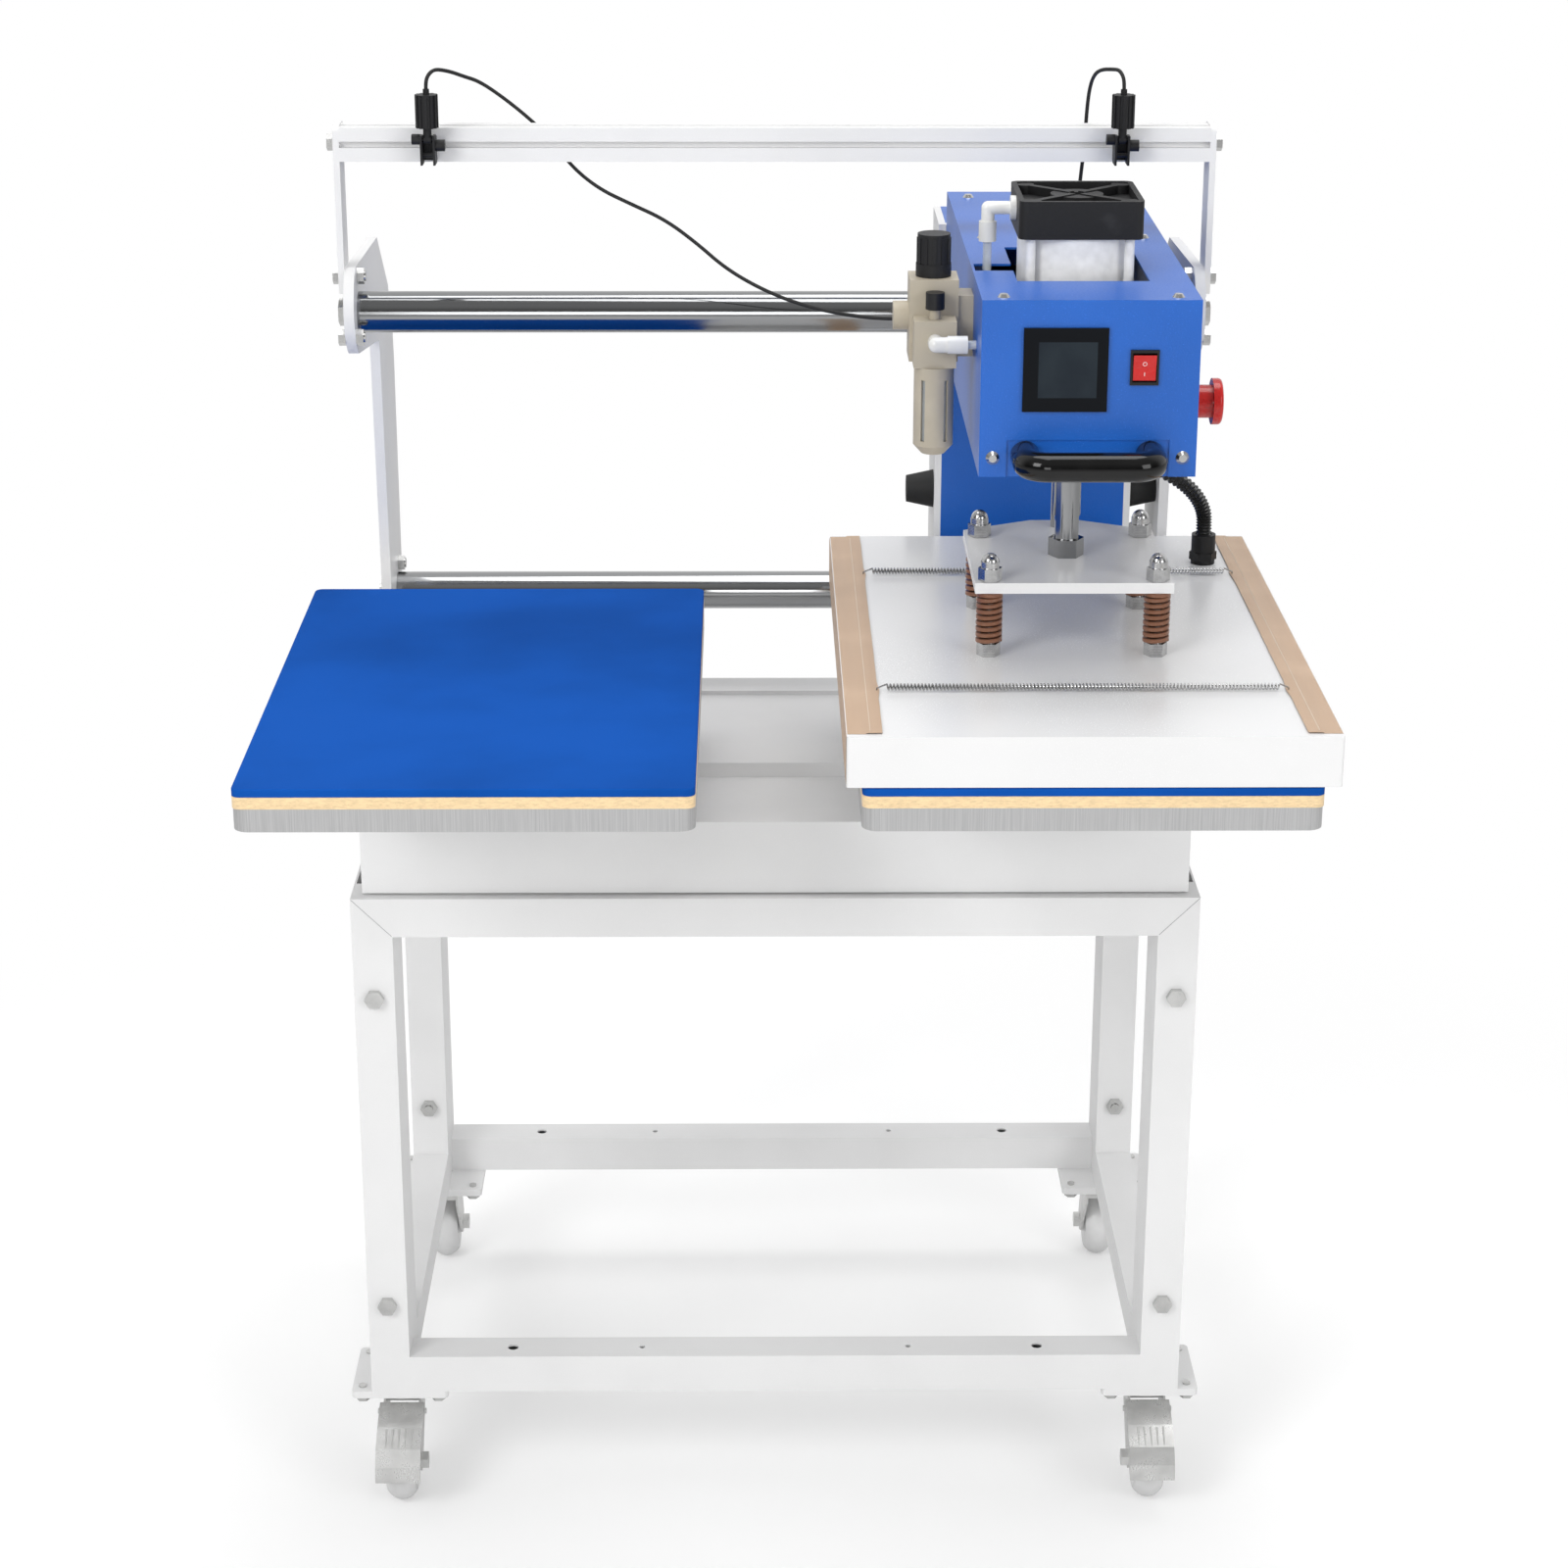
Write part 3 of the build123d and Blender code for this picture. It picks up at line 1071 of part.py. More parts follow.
def head_frame():
    """Side beams, cylinder foot plate, guide rod bush and the conduit's bracket."""
    solids = []
    for side in (-1, 1):
        inner = side * BEAM_INNER
        outer = side * beam_outer
        beam = block(inner, outer, BEAM_FRONT, casing_back - CASING_SHEET, BEAM_FLOOR,
                     BEAM_FLOOR + BEAM_HEIGHT)
        beam -= rod_x(SHAFT_WINDOW_RADIUS, inner - side, outer + side, UPPER_SHAFT_Y,
                      UPPER_SHAFT_Z)
        if side < 0:
            beam -= block(inner + 1, outer - 1, tube_y - TUBE_SLOT / 2, tube_y + TUBE_SLOT / 2,
                          tube_foot - TOUCH_GAP, BEAM_FLOOR + BEAM_HEIGHT + 1)
        solids.append(beam)
    foot = block(-BEAM_INNER, BEAM_INNER, CYLINDER_Y - 64, CYLINDER_Y + 64, FOOT_PLATE_FLOOR,
                 foot_cap_floor)
    foot -= rod_z(ROD_RADIUS + 3, FOOT_PLATE_FLOOR - 1, foot_cap_floor + 1, 0, CYLINDER_Y)
    bush = block(-BEAM_INNER, BEAM_INNER, GUIDE_ROD_Y - 15, GUIDE_ROD_Y + 15, FOOT_PLATE_FLOOR,
                 FOOT_PLATE_FLOOR + 26)
    bush -= rod_z(GUIDE_ROD_RADIUS + RUNNING, FOOT_PLATE_FLOOR - 1, FOOT_PLATE_FLOOR + 27, 0,
                  GUIDE_ROD_Y)
    lug = block(CONDUIT_TOP_X - CONDUIT_RADIUS - 6, BEAM_INNER, CONDUIT_TOP_Y - 14,
                CONDUIT_TOP_Y + 14, lug_floor, lug_floor + 4)
    lug -= rod_z(CONDUIT_BORE, lug_floor - 1, lug_floor + 5, CONDUIT_TOP_X, CONDUIT_TOP_Y)
    return at_head(*solids, foot, bush, lug)


def bearing_housings():
    """Two bored housings on each shaft, between the head's side plates."""
    solids = []
    half = HOUSING / 2
    for y, z, outer in ((UPPER_SHAFT_Y, UPPER_SHAFT_Z, BEAM_INNER),
                        (LOWER_SHAFT_Y, LOWER_SHAFT_Z, CARRIAGE_HALF_WIDTH)):
        for side in (-1, 1):
            near = side * outer
            far = side * (outer - HOUSING_LENGTH)
            housing = block(near, far, y - half, y + half, z - half, z + half)
            housing -= rod_x(SHAFT_RADIUS + RUNNING, near + side, far - side, y, z)
            solids.append(housing)
    return at_head(*solids)


def carriage_plates():
    """White side plates that hang from the head and carry the lower housings."""
    solids = []
    for side in (-1, 1):
        inner = side * CARRIAGE_HALF_WIDTH
        outer = side * (CARRIAGE_HALF_WIDTH + CARRIAGE_PLATE)
        plate = block(inner, outer, CARRIAGE_FRONT, carriage_back, CARRIAGE_FLOOR, carriage_top)
        plate -= rod_x(SHAFT_WINDOW_RADIUS, inner - side, outer + side, LOWER_SHAFT_Y,
                       LOWER_SHAFT_Z)
        solids.append(plate)
    tie = block(-CARRIAGE_HALF_WIDTH, CARRIAGE_HALF_WIDTH, casing_back, casing_back + TIE,
                BEAM_FLOOR, carriage_top)
    return at_head(*solids, tie)


def carriage_cover():
    """Blue sheet over the carriage's front, underside, back and top."""
    half = CARRIAGE_HALF_WIDTH
    sheet = CASING_SHEET
    front = block(-half, half, CARRIAGE_FRONT, CARRIAGE_FRONT + sheet, CARRIAGE_FLOOR, BEAM_FLOOR)
    floor = block(-half, half, CARRIAGE_FRONT + sheet, carriage_back, CARRIAGE_FLOOR,
                  CARRIAGE_FLOOR + sheet)
    back = block(-half, half, carriage_back - sheet, carriage_back, CARRIAGE_FLOOR, carriage_top)
    roof = block(-half, half, casing_back + TIE, carriage_back, carriage_top - sheet, carriage_top)
    return at_head(front + floor + back + roof)


def bumpers():
    """Rubber cones that meet the side plates at the end of the travel."""
    seat = CARRIAGE_HALF_WIDTH + CARRIAGE_PLATE
    cone = Pos(seat + BUMPER_LENGTH / 2, BUMPER_Y, BUMPER_Z) * Rot(0, 90, 0) * Cone(
        BUMPER_RADIUS, BUMPER_TIP_RADIUS, BUMPER_LENGTH)
    return at_head(cone, mirrored(cone))


def control_box():
    """Power and control box, and the solenoid valve, inside the head."""
    back = CONTROL_FRONT + CONTROL_DEPTH
    floor = BEAM_FLOOR + CONTROL_TRAY
    box = block(-CONTROL_HALF_WIDTH, CONTROL_HALF_WIDTH, CONTROL_FRONT, back, floor,
                floor + CONTROL_HEIGHT)
    tray = block(-BEAM_INNER, BEAM_INNER, CONTROL_FRONT - CONTROL_TRAY_LIP,
                 back + CONTROL_TRAY_LIP, BEAM_FLOOR, floor)
    valve_floor = BEAM_FLOOR + VALVE_RISE
    valve = block(-BEAM_INNER, -BEAM_INNER + VALVE_WIDTH, VALVE_FRONT, VALVE_FRONT + VALVE_DEPTH,
                  valve_floor, valve_floor + VALVE_HEIGHT)
    return at_head(box, tray, valve)


# Cylinder

def tie_rod_places():
    return [(dx * TIE_ROD_HALF_SPAN, CYLINDER_Y + dy * TIE_ROD_HALF_SPAN)
            for dx in (-1, 1) for dy in (-1, 1)]


def cylinder_barrel():
    """Round barrel and its four tie rods."""
    barrel = rod_z(BARREL_RADIUS, foot_cap_top, TOP_CAP_FLOOR, 0, CYLINDER_Y)
    barrel -= rod_z(BARREL_BORE, foot_cap_top - 1, TOP_CAP_FLOOR + 1, 0, CYLINDER_Y)
    rods = [rod_z(TIE_ROD_RADIUS, foot_cap_top, TOP_CAP_FLOOR, x, y) for x, y in tie_rod_places()]
    for x, y in tie_rod_places():
        barrel -= rod_z(TIE_ROD_RADIUS, foot_cap_top - 1, TOP_CAP_FLOOR + 1, x, y)
    return at_head(barrel, *rods)


def cylinder_caps():
    """Cast end caps: the upper one ribbed on top, with its port on the left."""
    half = CAP / 2
    top = rounded_slab(CAP, CYLINDER_Y - half, CYLINDER_Y + half, TOP_CAP_FLOOR, top_cap_top,
                       CAP_CORNER)
    pocket_depth = 9.0
    pocket = rounded_slab(CAP - 10, CYLINDER_Y - half + 5, CYLINDER_Y + half - 5,
                          top_cap_top - pocket_depth, top_cap_top + 1, CAP_CORNER - 2)
    hub = rod_z(24.0, top_cap_top - pocket_depth - 1, top_cap_top - 2, 0, CYLINDER_Y)
    ribs = []
    for turn in (45, -45):
        ribs.append(Pos(0, CYLINDER_Y, top_cap_top - pocket_depth / 2 - 1) * Rot(0, 0, turn) * Box(
            CAP * 1.22, 7, pocket_depth))
    for x, y in tie_rod_places():
        ribs.append(rod_z(9.0, top_cap_top - pocket_depth, top_cap_top - 1, x, y))
    envelope = top
    top -= pocket
    for rib in [hub, *ribs]:
        top += rib & envelope
    top -= rod_z(7.0, top_cap_top - 12, top_cap_top + 1, 0, CYLINDER_Y)
    foot = rounded_slab(CAP, CYLINDER_Y - half, CYLINDER_Y + half, foot_cap_floor, foot_cap_top,
                        CAP_CORNER)
    foot -= rod_z(ROD_RADIUS + RUNNING, foot_cap_floor - 1, foot_cap_top + 1, 0, CYLINDER_Y)
    return at_head(top, foot)


def air_fittings():
    """Elbow at the cylinder's port and elbow at the regulator's outlet."""
    port_z = (TOP_CAP_FLOOR + top_cap_top) / 2 + 4
    port_y = tube_y
    half = CAP / 2
    washer = rod_x(PORT_RADIUS + 2, -half - 5, -half, port_y, port_z)
    stem = rod_x(PORT_RADIUS - 3, -half - 25, -half - 5, port_y, port_z)
    knee = Pos(-half - 25, port_y, port_z) * Sphere(PORT_RADIUS - 3)
    drop = rod_z(PORT_RADIUS - 3, port_z - 18, port_z, -half - 25, port_y)
    ring = rod_z(PORT_RADIUS - 1, port_z - 30, port_z - 12, -half - 25, port_y)
    cylinder_elbow = washer + stem + knee + drop + ring
    block_front = REG_Y - REG_WIDTH / 2 - BOWL_BLOCK_DEPTH
    out_z = REG_FLOOR + 24
    nose = rod_y(7.0, block_front - 12, block_front, REG_X, out_z)
    outlet_knee = Pos(REG_X, block_front - 12, out_z) * Sphere(7.0)
    outlet = rod_x(7.0, REG_X, REG_X + 14, block_front - 12, out_z)
    collar = rod_x(8.0, REG_X + 10, REG_X + 28, block_front - 12, out_z)
    return at_head(cylinder_elbow, nose + outlet_knee + outlet + collar)


def air_tubes():
    """Clear tube from the cylinder's elbow into the casing, and from the regulator."""
    port_z = (TOP_CAP_FLOOR + top_cap_top) / 2 + 4
    x = -CAP / 2 - 25
    drop = rod_z(AIR_TUBE_RADIUS, tube_foot, port_z - 30, x, tube_y)
    drop -= rod_z(AIR_TUBE_BORE, tube_foot - 1, port_z - 29, x, tube_y)
    block_front = REG_Y - REG_WIDTH / 2 - BOWL_BLOCK_DEPTH
    out_y = block_front - 12
    out_z = REG_FLOOR + 24
    across = rod_x(AIR_TUBE_RADIUS, REG_X + 28, -half_casing, out_y, out_z)
    across -= rod_x(AIR_TUBE_BORE, REG_X + 27, -half_casing + 1, out_y, out_z)
    return at_head(drop, across)


# Filter-regulator

def regulator_body():
    """Body, front block with its lock screw, gauge and the bracket to the casing."""
    half = REG_WIDTH / 2
    body = block(REG_X - half, REG_X + half, REG_Y - half, REG_Y + half, REG_FLOOR, reg_top)
    collar = block(REG_X - half, REG_X + half, REG_Y - half, REG_Y + half, reg_top,
                   reg_top + REG_COLLAR)
    block_front = REG_Y - half - BOWL_BLOCK_DEPTH
    front = block(REG_X - BOWL_BLOCK_WIDTH / 2, REG_X + BOWL_BLOCK_WIDTH / 2, block_front,
                  REG_Y - half, REG_FLOOR, REG_FLOOR + BOWL_BLOCK_HEIGHT)
    front_y = block_front + BOWL_BLOCK_DEPTH / 2
    lock_stem = rod_z(5.0, REG_FLOOR + BOWL_BLOCK_HEIGHT, REG_FLOOR + BOWL_BLOCK_HEIGHT + 9,
                      REG_X, front_y)
    lock_knob = rod_z(8.5, REG_FLOOR + BOWL_BLOCK_HEIGHT + 9, REG_FLOOR + BOWL_BLOCK_HEIGHT + 24,
                      REG_X, front_y)
    gauge = rod_x(GAUGE_RADIUS, REG_X - half - GAUGE_LENGTH, REG_X - half, REG_Y,
                  REG_FLOOR + 38)
    bracket = block(REG_X + half, -half_casing, REG_Y - 18, REG_Y + 18, REG_FLOOR + 4,
                    reg_top - 2)
    stem = rod_z(7.0, reg_top + REG_COLLAR, reg_top + REG_COLLAR + 10, REG_X, REG_Y)
    inlet = rod_y(INLET_RADIUS, REG_Y + half - INLET_DEPTH, REG_Y + half + 1, REG_X,
                  REG_FLOOR + INLET_HEIGHT)
    return at_head(body + collar + stem - inlet, front + lock_stem + lock_knob, gauge, bracket)


def regulator_knob():
    """Ribbed pressure knob, turning on the regulator's stem."""
    floor = reg_top + REG_COLLAR + CLEAR
    knob = rod_z(REG_KNOB_RADIUS, floor, floor + REG_KNOB * 0.3, REG_X, REG_Y)
    knob += rod_z(REG_KNOB_RADIUS - 1.2, floor, floor + REG_KNOB, REG_X, REG_Y)
    for index in range(12):
        turn = 360 * index / 12
        knob += Pos(REG_X, REG_Y, floor + REG_KNOB * 0.6) * Rot(0, 0, turn) * Pos(
            REG_KNOB_RADIUS - 1.4, 0, 0) * Box(1.6, 3.0, REG_KNOB * 0.62)
    knob -= rod_z(7.0 + RUNNING, floor - 1, reg_top + REG_COLLAR + 10 + CLEAR, REG_X, REG_Y)
    return at_head(knob)


def regulator_bowl():
    """Bowl guard with its round end and two sight slots."""
    y = REG_Y - REG_WIDTH / 2 - BOWL_BLOCK_DEPTH / 2
    shell = rod_z(BOWL_RADIUS, BOWL_FLOOR + 8, REG_FLOOR, REG_X, y)
    shell += cone_z(BOWL_RADIUS * 0.6, BOWL_RADIUS, BOWL_FLOOR, BOWL_FLOOR + 8, REG_X, y)
    shell -= rod_z(BOWL_RADIUS - 2, BOWL_FLOOR + 10, REG_FLOOR - 4, REG_X, y)
    for turn in (-125, -55):
        slot = Pos(REG_X, y, (BOWL_FLOOR + REG_FLOOR) / 2 + 1) * Rot(0, 0, turn) * Pos(
            BOWL_RADIUS - 1, 0, 0) * Box(6, 4, 56)
        shell -= slot
    return at_head(shell)


# Press unit

def press_rods():
    """Piston with its rod and hexagon nut, and the guide rod beside it."""
    piston_floor = foot_cap_top + 6
    piston = rod_z(BARREL_BORE - RUNNING, piston_floor, piston_floor + PISTON, 0, CYLINDER_Y)
    rod = rod_z(ROD_RADIUS, press_plate_top + ROD_NUT, piston_floor, 0, CYLINDER_Y)
    for side in (-1, 1):
        rod -= block(side * ROD_FLAT, side * (ROD_RADIUS + 2), CYLINDER_Y - ROD_RADIUS - 1,
                     CYLINDER_Y + ROD_RADIUS + 1, press_plate_top + ROD_NUT,
                     press_plate_top + ROD_NUT + 22)
    nut = hex_z(ROD_NUT_FLATS, press_plate_top, press_plate_top + ROD_NUT, 0, CYLINDER_Y)
    thread = rod_z(ROD_RADIUS - 3, PRESS_PLATE_FLOOR, press_plate_top, 0, CYLINDER_Y)
    guide = rod_z(GUIDE_ROD_RADIUS, press_plate_top, BEAM_FLOOR + 80, 0, GUIDE_ROD_Y)
    return at_head(piston + rod + nut + thread, guide)


def stud_places():
    return [(side * STUD_HALF_SPAN, y) for side in (-1, 1) for y in (STUD_FRONT_Y, STUD_BACK_Y)]


def pressure_plate():
    """Thick plate under the rod, with a blunt peak behind and four stud holes."""
    half = PRESS_PLATE_HALF_WIDTH
    outline = [(-half, PRESS_PLATE_FRONT), (half, PRESS_PLATE_FRONT), (half, PRESS_PLATE_BACK),
               (PRESS_PEAK_HALF_WIDTH, PRESS_PEAK_BACK), (-PRESS_PEAK_HALF_WIDTH, PRESS_PEAK_BACK),
               (-half, PRESS_PLATE_BACK)]
    plate = slab_xy(outline, PRESS_PLATE_FLOOR, press_plate_top)
    for x, y in stud_places():
        plate -= rod_z(STUD_RADIUS + HOLE_CLEAR, PRESS_PLATE_FLOOR - 1, press_plate_top + 1, x, y)
    plate -= rod_z(ROD_RADIUS - 3, PRESS_PLATE_FLOOR - 1, press_plate_top + 1, 0, CYLINDER_Y)
    return at_head(plate)


def arc_between(start, start_way, end):
    """The arc from start to end that leaves along start_way."""
    chord = end - start
    along = chord.normalized()
    aside = start_way - along * start_way.dot(along)
    angle = math.radians(start_way.get_angle(chord))
    rise = chord.length / 2 * math.tan(angle / 2)
    return ThreePointArc(start, (start + end) * 0.5 + aside.normalized() * rise, end)


def biarc(start, start_way, end, end_way):
    """Two arcs that join start to end and keep both given directions."""
    span = end - start
    both = start_way + end_way
    spread = 2 * (1 - start_way.dot(end_way))
    reach = (-span.dot(both) + math.sqrt(span.dot(both) ** 2 + spread * span.dot(span))) / spread
    middle = (start + start_way * reach + end - end_way * reach) * 0.5
    first = arc_between(start, start_way, middle)
    return [first, arc_between(middle, first % 1, end)]


def helix_point(radius, pitch, turn):
    angle = 2 * math.pi * turn
    return Vector(radius * math.cos(angle), radius * math.sin(angle), pitch * turn)


def helix_way(radius, pitch, turn):
    angle = 2 * math.pi * turn
    rise = pitch / (2 * math.pi)
    return Vector(-radius * math.sin(angle), radius * math.cos(angle), rise).normalized()


def die_spring():
    """One heavy spring, from the stud's nut to the pressure plate."""
    floor = heater_top + STUD_NUT + CLEAR
    height = PRESS_PLATE_FLOOR - CLEAR - floor
    radius = SPRING_RADIUS - SPRING_WIRE_RADIUS
    pitch = (height - 2 * SPRING_WIRE_RADIUS) / SPRING_CURLS
    edges = []
    for step in range(SPRING_CURLS * SPRING_CURL_STEPS):
        first = step / SPRING_CURL_STEPS
        second = (step + 1) / SPRING_CURL_STEPS
        edges += biarc(helix_point(radius, pitch, first), helix_way(radius, pitch, first),
                       helix_point(radius, pitch, second), helix_way(radius, pitch, second))
    path = Wire(edges)
    start = Plane(origin=helix_point(radius, pitch, 0), z_dir=helix_way(radius, pitch, 0))
    coil = sweep(start * Circle(SPRING_WIRE_RADIUS), path=path)
    gap = pitch * math.cos(math.atan(pitch / (2 * math.pi * radius))) - 2 * SPRING_WIRE_RADIUS
    print("die spring least gap", round(gap, 2), "volume ratio",
          round(coil.volume / (math.pi * SPRING_WIRE_RADIUS ** 2 * path.length), 4))
    return Pos(0, 0, floor + SPRING_WIRE_RADIUS) * coil


def die_springs():
    spring = die_spring()
    return at_head(*[Pos(x, y, 0) * spring for x, y in stud_places()])


# Heater

def heater_cover():
    """Sheet-metal cover: top and four sides, open below."""
    x = half_heater
    outer = block(-x, x, HEATER_FRONT, heater_back, heater_floor, heater_top)
    outer = fillet(outer.edges().filter_by(Axis.Z), HEATER_EDGE)
    sheet = HEATER_SHEET
    inner = block(-x + sheet, x - sheet, HEATER_FRONT + sheet, heater_back - sheet,
                  heater_floor - 1, heater_top - sheet)
    return at_head(outer - inner)


def heating_plate():
    """Cast heating plate, held under the cover by four stand-offs."""
    middle = HEATER_FRONT + HEATER_DEPTH / 2
    half = HOT_PLATE_DEPTH / 2
    plate = block(-HOT_PLATE_WIDTH / 2, HOT_PLATE_WIDTH / 2, middle - half, middle + half,
                  heater_floor, heater_floor + HOT_PLATE)
    for x, y in stud_places():
        plate += rod_z(STUD_RADIUS, heater_floor + HOT_PLATE, heater_top - HEATER_SHEET, x, y)
    return at_head(plate)


def heater_studs():
    """Four studs on the heater, each with a foot nut, a top nut and an acorn nut."""
    solids = []
    for x, y in stud_places():
        nut_floor = press_plate_top + CLEAR
        stud = rod_z(STUD_RADIUS, heater_top, nut_floor + STUD_NUT, x, y)
        stud += hex_z(STUD_NUT_FLATS, heater_top, heater_top + STUD_NUT, x, y)
        stud += hex_z(STUD_NUT_FLATS, nut_floor, nut_floor + STUD_NUT, x, y)
        stud += rod_z(STUD_NUT_FLATS * 0.45, nut_floor + STUD_NUT,
                      nut_floor + STUD_NUT + ACORN * 0.45, x, y)
        stud += Pos(x, y, nut_floor + STUD_NUT + ACORN * 0.4) * Sphere(STUD_NUT_FLATS * 0.43)
        solids.append(stud)
    return at_head(*solids)


def cloth_cover():
    """Non-stick cloth under the heater, wrapped over its left and right edges."""
    y0 = HEATER_FRONT + CLOTH_INSET
    y1 = heater_back - CLOTH_INSET / 2
    x = half_heater
    floor = block(-x - CLOTH, x + CLOTH, y0, y1, cloth_floor, heater_floor)
    wrap = floor
    for side in (-1, 1):
        wrap += block(side * x, side * (x + CLOTH), y0, y1, cloth_floor, heater_top + CLOTH)
        wrap += block(side * (x + CLOTH), side * (x - CLOTH_HEM), y0, y1, heater_top,
                      heater_top + CLOTH)
    return at_head(wrap)


def tension_springs():
    """Two long springs that pull the cloth's hems together over the heater."""
    solids = []
    z = heater_top + CLOTH + TENSION_SPRING_RADIUS + CLEAR
    for y in (TENSION_SPRING_FRONT_Y, TENSION_SPRING_BACK_Y):
        reach = TENSION_SPRING_HALF_LENGTH
        spring = rod_x(TENSION_SPRING_RADIUS, -reach, reach, y, z)
        for side in (-1, 1):
            hook = rod_x(HOOK_RADIUS, side * (reach - 1), side * (reach + HOOK_LENGTH), y, z)
            tip = rod_z(HOOK_RADIUS, heater_top + CLOTH, z, side * (reach + HOOK_LENGTH), y)
            spring += hook + tip
        solids.append(spring)
    return at_head(*solids)


def conduit_gland():
    """Gland on the heater for the corrugated conduit."""
    body = rod_z(GLAND_RADIUS, heater_top, heater_top + GLAND, GLAND_X, GLAND_Y)
    body += hex_z(GLAND_RADIUS * 2, heater_top + 4, heater_top + 12, GLAND_X, GLAND_Y)
    body -= rod_z(CONDUIT_RADIUS + CLEAR, heater_top + GLAND - GLAND_SOCKET,
                  heater_top + GLAND + 1, GLAND_X, GLAND_Y)
    return at_head(body)


def conduit():
    """Corrugated conduit from the gland up into the head."""
    foot = Vector(GLAND_X, GLAND_Y, heater_top + GLAND - GLAND_SOCKET + CLEAR)
    crown = Vector(CONDUIT_TOP_X, CONDUIT_TOP_Y, lug_floor - CLEAR)
    end_run = Vector(0, 0, 2 * CONDUIT_RADIUS)
    bend = Bezier(foot + end_run, foot + end_run * 5, crown - end_run * 4, crown - end_run)
    path = Wire([Line(foot, foot + end_run), bend.edge(), Line(crown - end_run, crown)])
    rings = []
    bore_rings = []
    steps = 4 * CONDUIT_RIBS
    shape = (CONDUIT_ROOT_RADIUS, CONDUIT_RADIUS, CONDUIT_RADIUS, CONDUIT_ROOT_RADIUS)
    for step in range(steps + 1):
        share = step / steps
        plane = Plane(origin=path @ share, x_dir=(0, 1, 0), z_dir=path % share)
        rings.append(plane * Circle(shape[step % 4]))
        if step % 4 == 0:
            bore_rings.append(plane * Circle(CONDUIT_BORE))
    hose = loft(rings, ruled=True) - loft(bore_rings, ruled=True)
    print("conduit length", round(path.length), "ribs", CONDUIT_RIBS)
    return at_head(hose)


# The whole press

def all_parts():
    """Every named piece, laid out from the middle of the stand's front face."""
    left_route, right_route = laser_cables()
    parts = {
        "end_frames": end_frames(),
        "side_frames": side_frames(),
        "stand_bolts": stand_bolts(),
        "caster_plates": caster_plates(),
        "base_tray": base_tray(),
        "platen_supports": platen_supports(),
        "platen_boards": platen_layer(BOARD_UNDERSIDE, board_top, BOARD_CORNER),
        "platen_sponges": platen_layer(board_top, sponge_top, PAD_CORNER),
        "silicone_pads": platen_layer(sponge_top, pad_top, PAD_CORNER),
        "side_plates": side_plates(),
        "side_bolts": side_bolts(),
        "guide_shafts": guide_shafts(),
        "laser_bar": laser_bar(),
        "laser_posts": laser_posts(),
        "laser_brackets": laser_brackets(),
        "laser_module_left": laser_module(-LASER_X),
        "laser_module_right": laser_module(LASER_X),
        "laser_cable_left": cable(left_route, "left cable"),
        "laser_cable_right": cable(right_route, "right cable"),
        "head_casing": head_casing(),
        "grip": grip(),
        "casing_screws": casing_screws(),
        "display": display(),
        "rocker_bezel": rocker_bezel(),
        "rocker_button": rocker_button(),
        "estop_base": estop_base(),
        "estop_button": estop_button(),
        "head_frame": head_frame(),
        "bearing_housings": bearing_housings(),
        "carriage_plates": carriage_plates(),
        "carriage_cover": carriage_cover(),
        "bumpers": bumpers(),
        "control_box": control_box(),
        "cylinder_barrel": cylinder_barrel(),
        "cylinder_caps": cylinder_caps(),
        "air_fittings": air_fittings(),
        "air_tubes": air_tubes(),
        "regulator_body": regulator_body(),
        "regulator_knob": regulator_knob(),
        "regulator_bowl": regulator_bowl(),
        "press_rods": press_rods(),
        "pressure_plate": pressure_plate(),
        "die_springs": die_springs(),
        "heater_cover": heater_cover(),
        "heating_plate": heating_plate(),
        "heater_studs": heater_studs(),
        "cloth_cover": cloth_cover(),
        "tension_springs": tension_springs(),
        "conduit_gland": conduit_gland(),
        "conduit": conduit(),
    }
    names = ("front_left", "front_right", "rear_left", "rear_right")
    for name, (x, y) in zip(names, caster_places()):
        front = name.startswith("front")
        way = -1 if front else 1
        parts["caster_fork_" + name] = caster_fork(x, y, way, front)
        parts["caster_wheel_" + name] = caster_wheel(x, y, way)
        if front:
            parts["brake_pedal_" + name] = brake_pedal(x, y, way)
    return parts


def footprint_middle(parts):
    """The middle of the press's box on the floor, cables left out."""
    solids = [solid for name, shapes in parts.items() if "cable" not in name for solid in shapes]
    boxes = [solid.bounding_box() for solid in solids]
    x = (min(box.min.X for box in boxes) + max(box.max.X for box in boxes)) / 2
    y = (min(box.min.Y for box in boxes) + max(box.max.Y for box in boxes)) / 2
    return Vector(x, y, 0)


def export_all():
    os.makedirs("parts", exist_ok=True)
    parts = all_parts()
    middle = footprint_middle(parts)
    print("origin from the stand's front middle", round(middle.X, 4), round(middle.Y, 4))
    for name, shapes in parts.items():
        placed = [Pos(-middle.X, -middle.Y, 0) * shape for shape in shapes]
        shape = placed[0] if len(placed) == 1 else Compound(children=placed)
        export_step(shape, "parts/" + name + ".step")


export_all()
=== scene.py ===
"""Looks of a dual station heat press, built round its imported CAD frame. Metres, +X right, +Y back, +Z up."""

import logging
import math
from dataclasses import dataclass
from enum import Enum
from typing import Callable, Sequence

import bmesh
import bpy
from mathutils import Matrix, Vector, noise


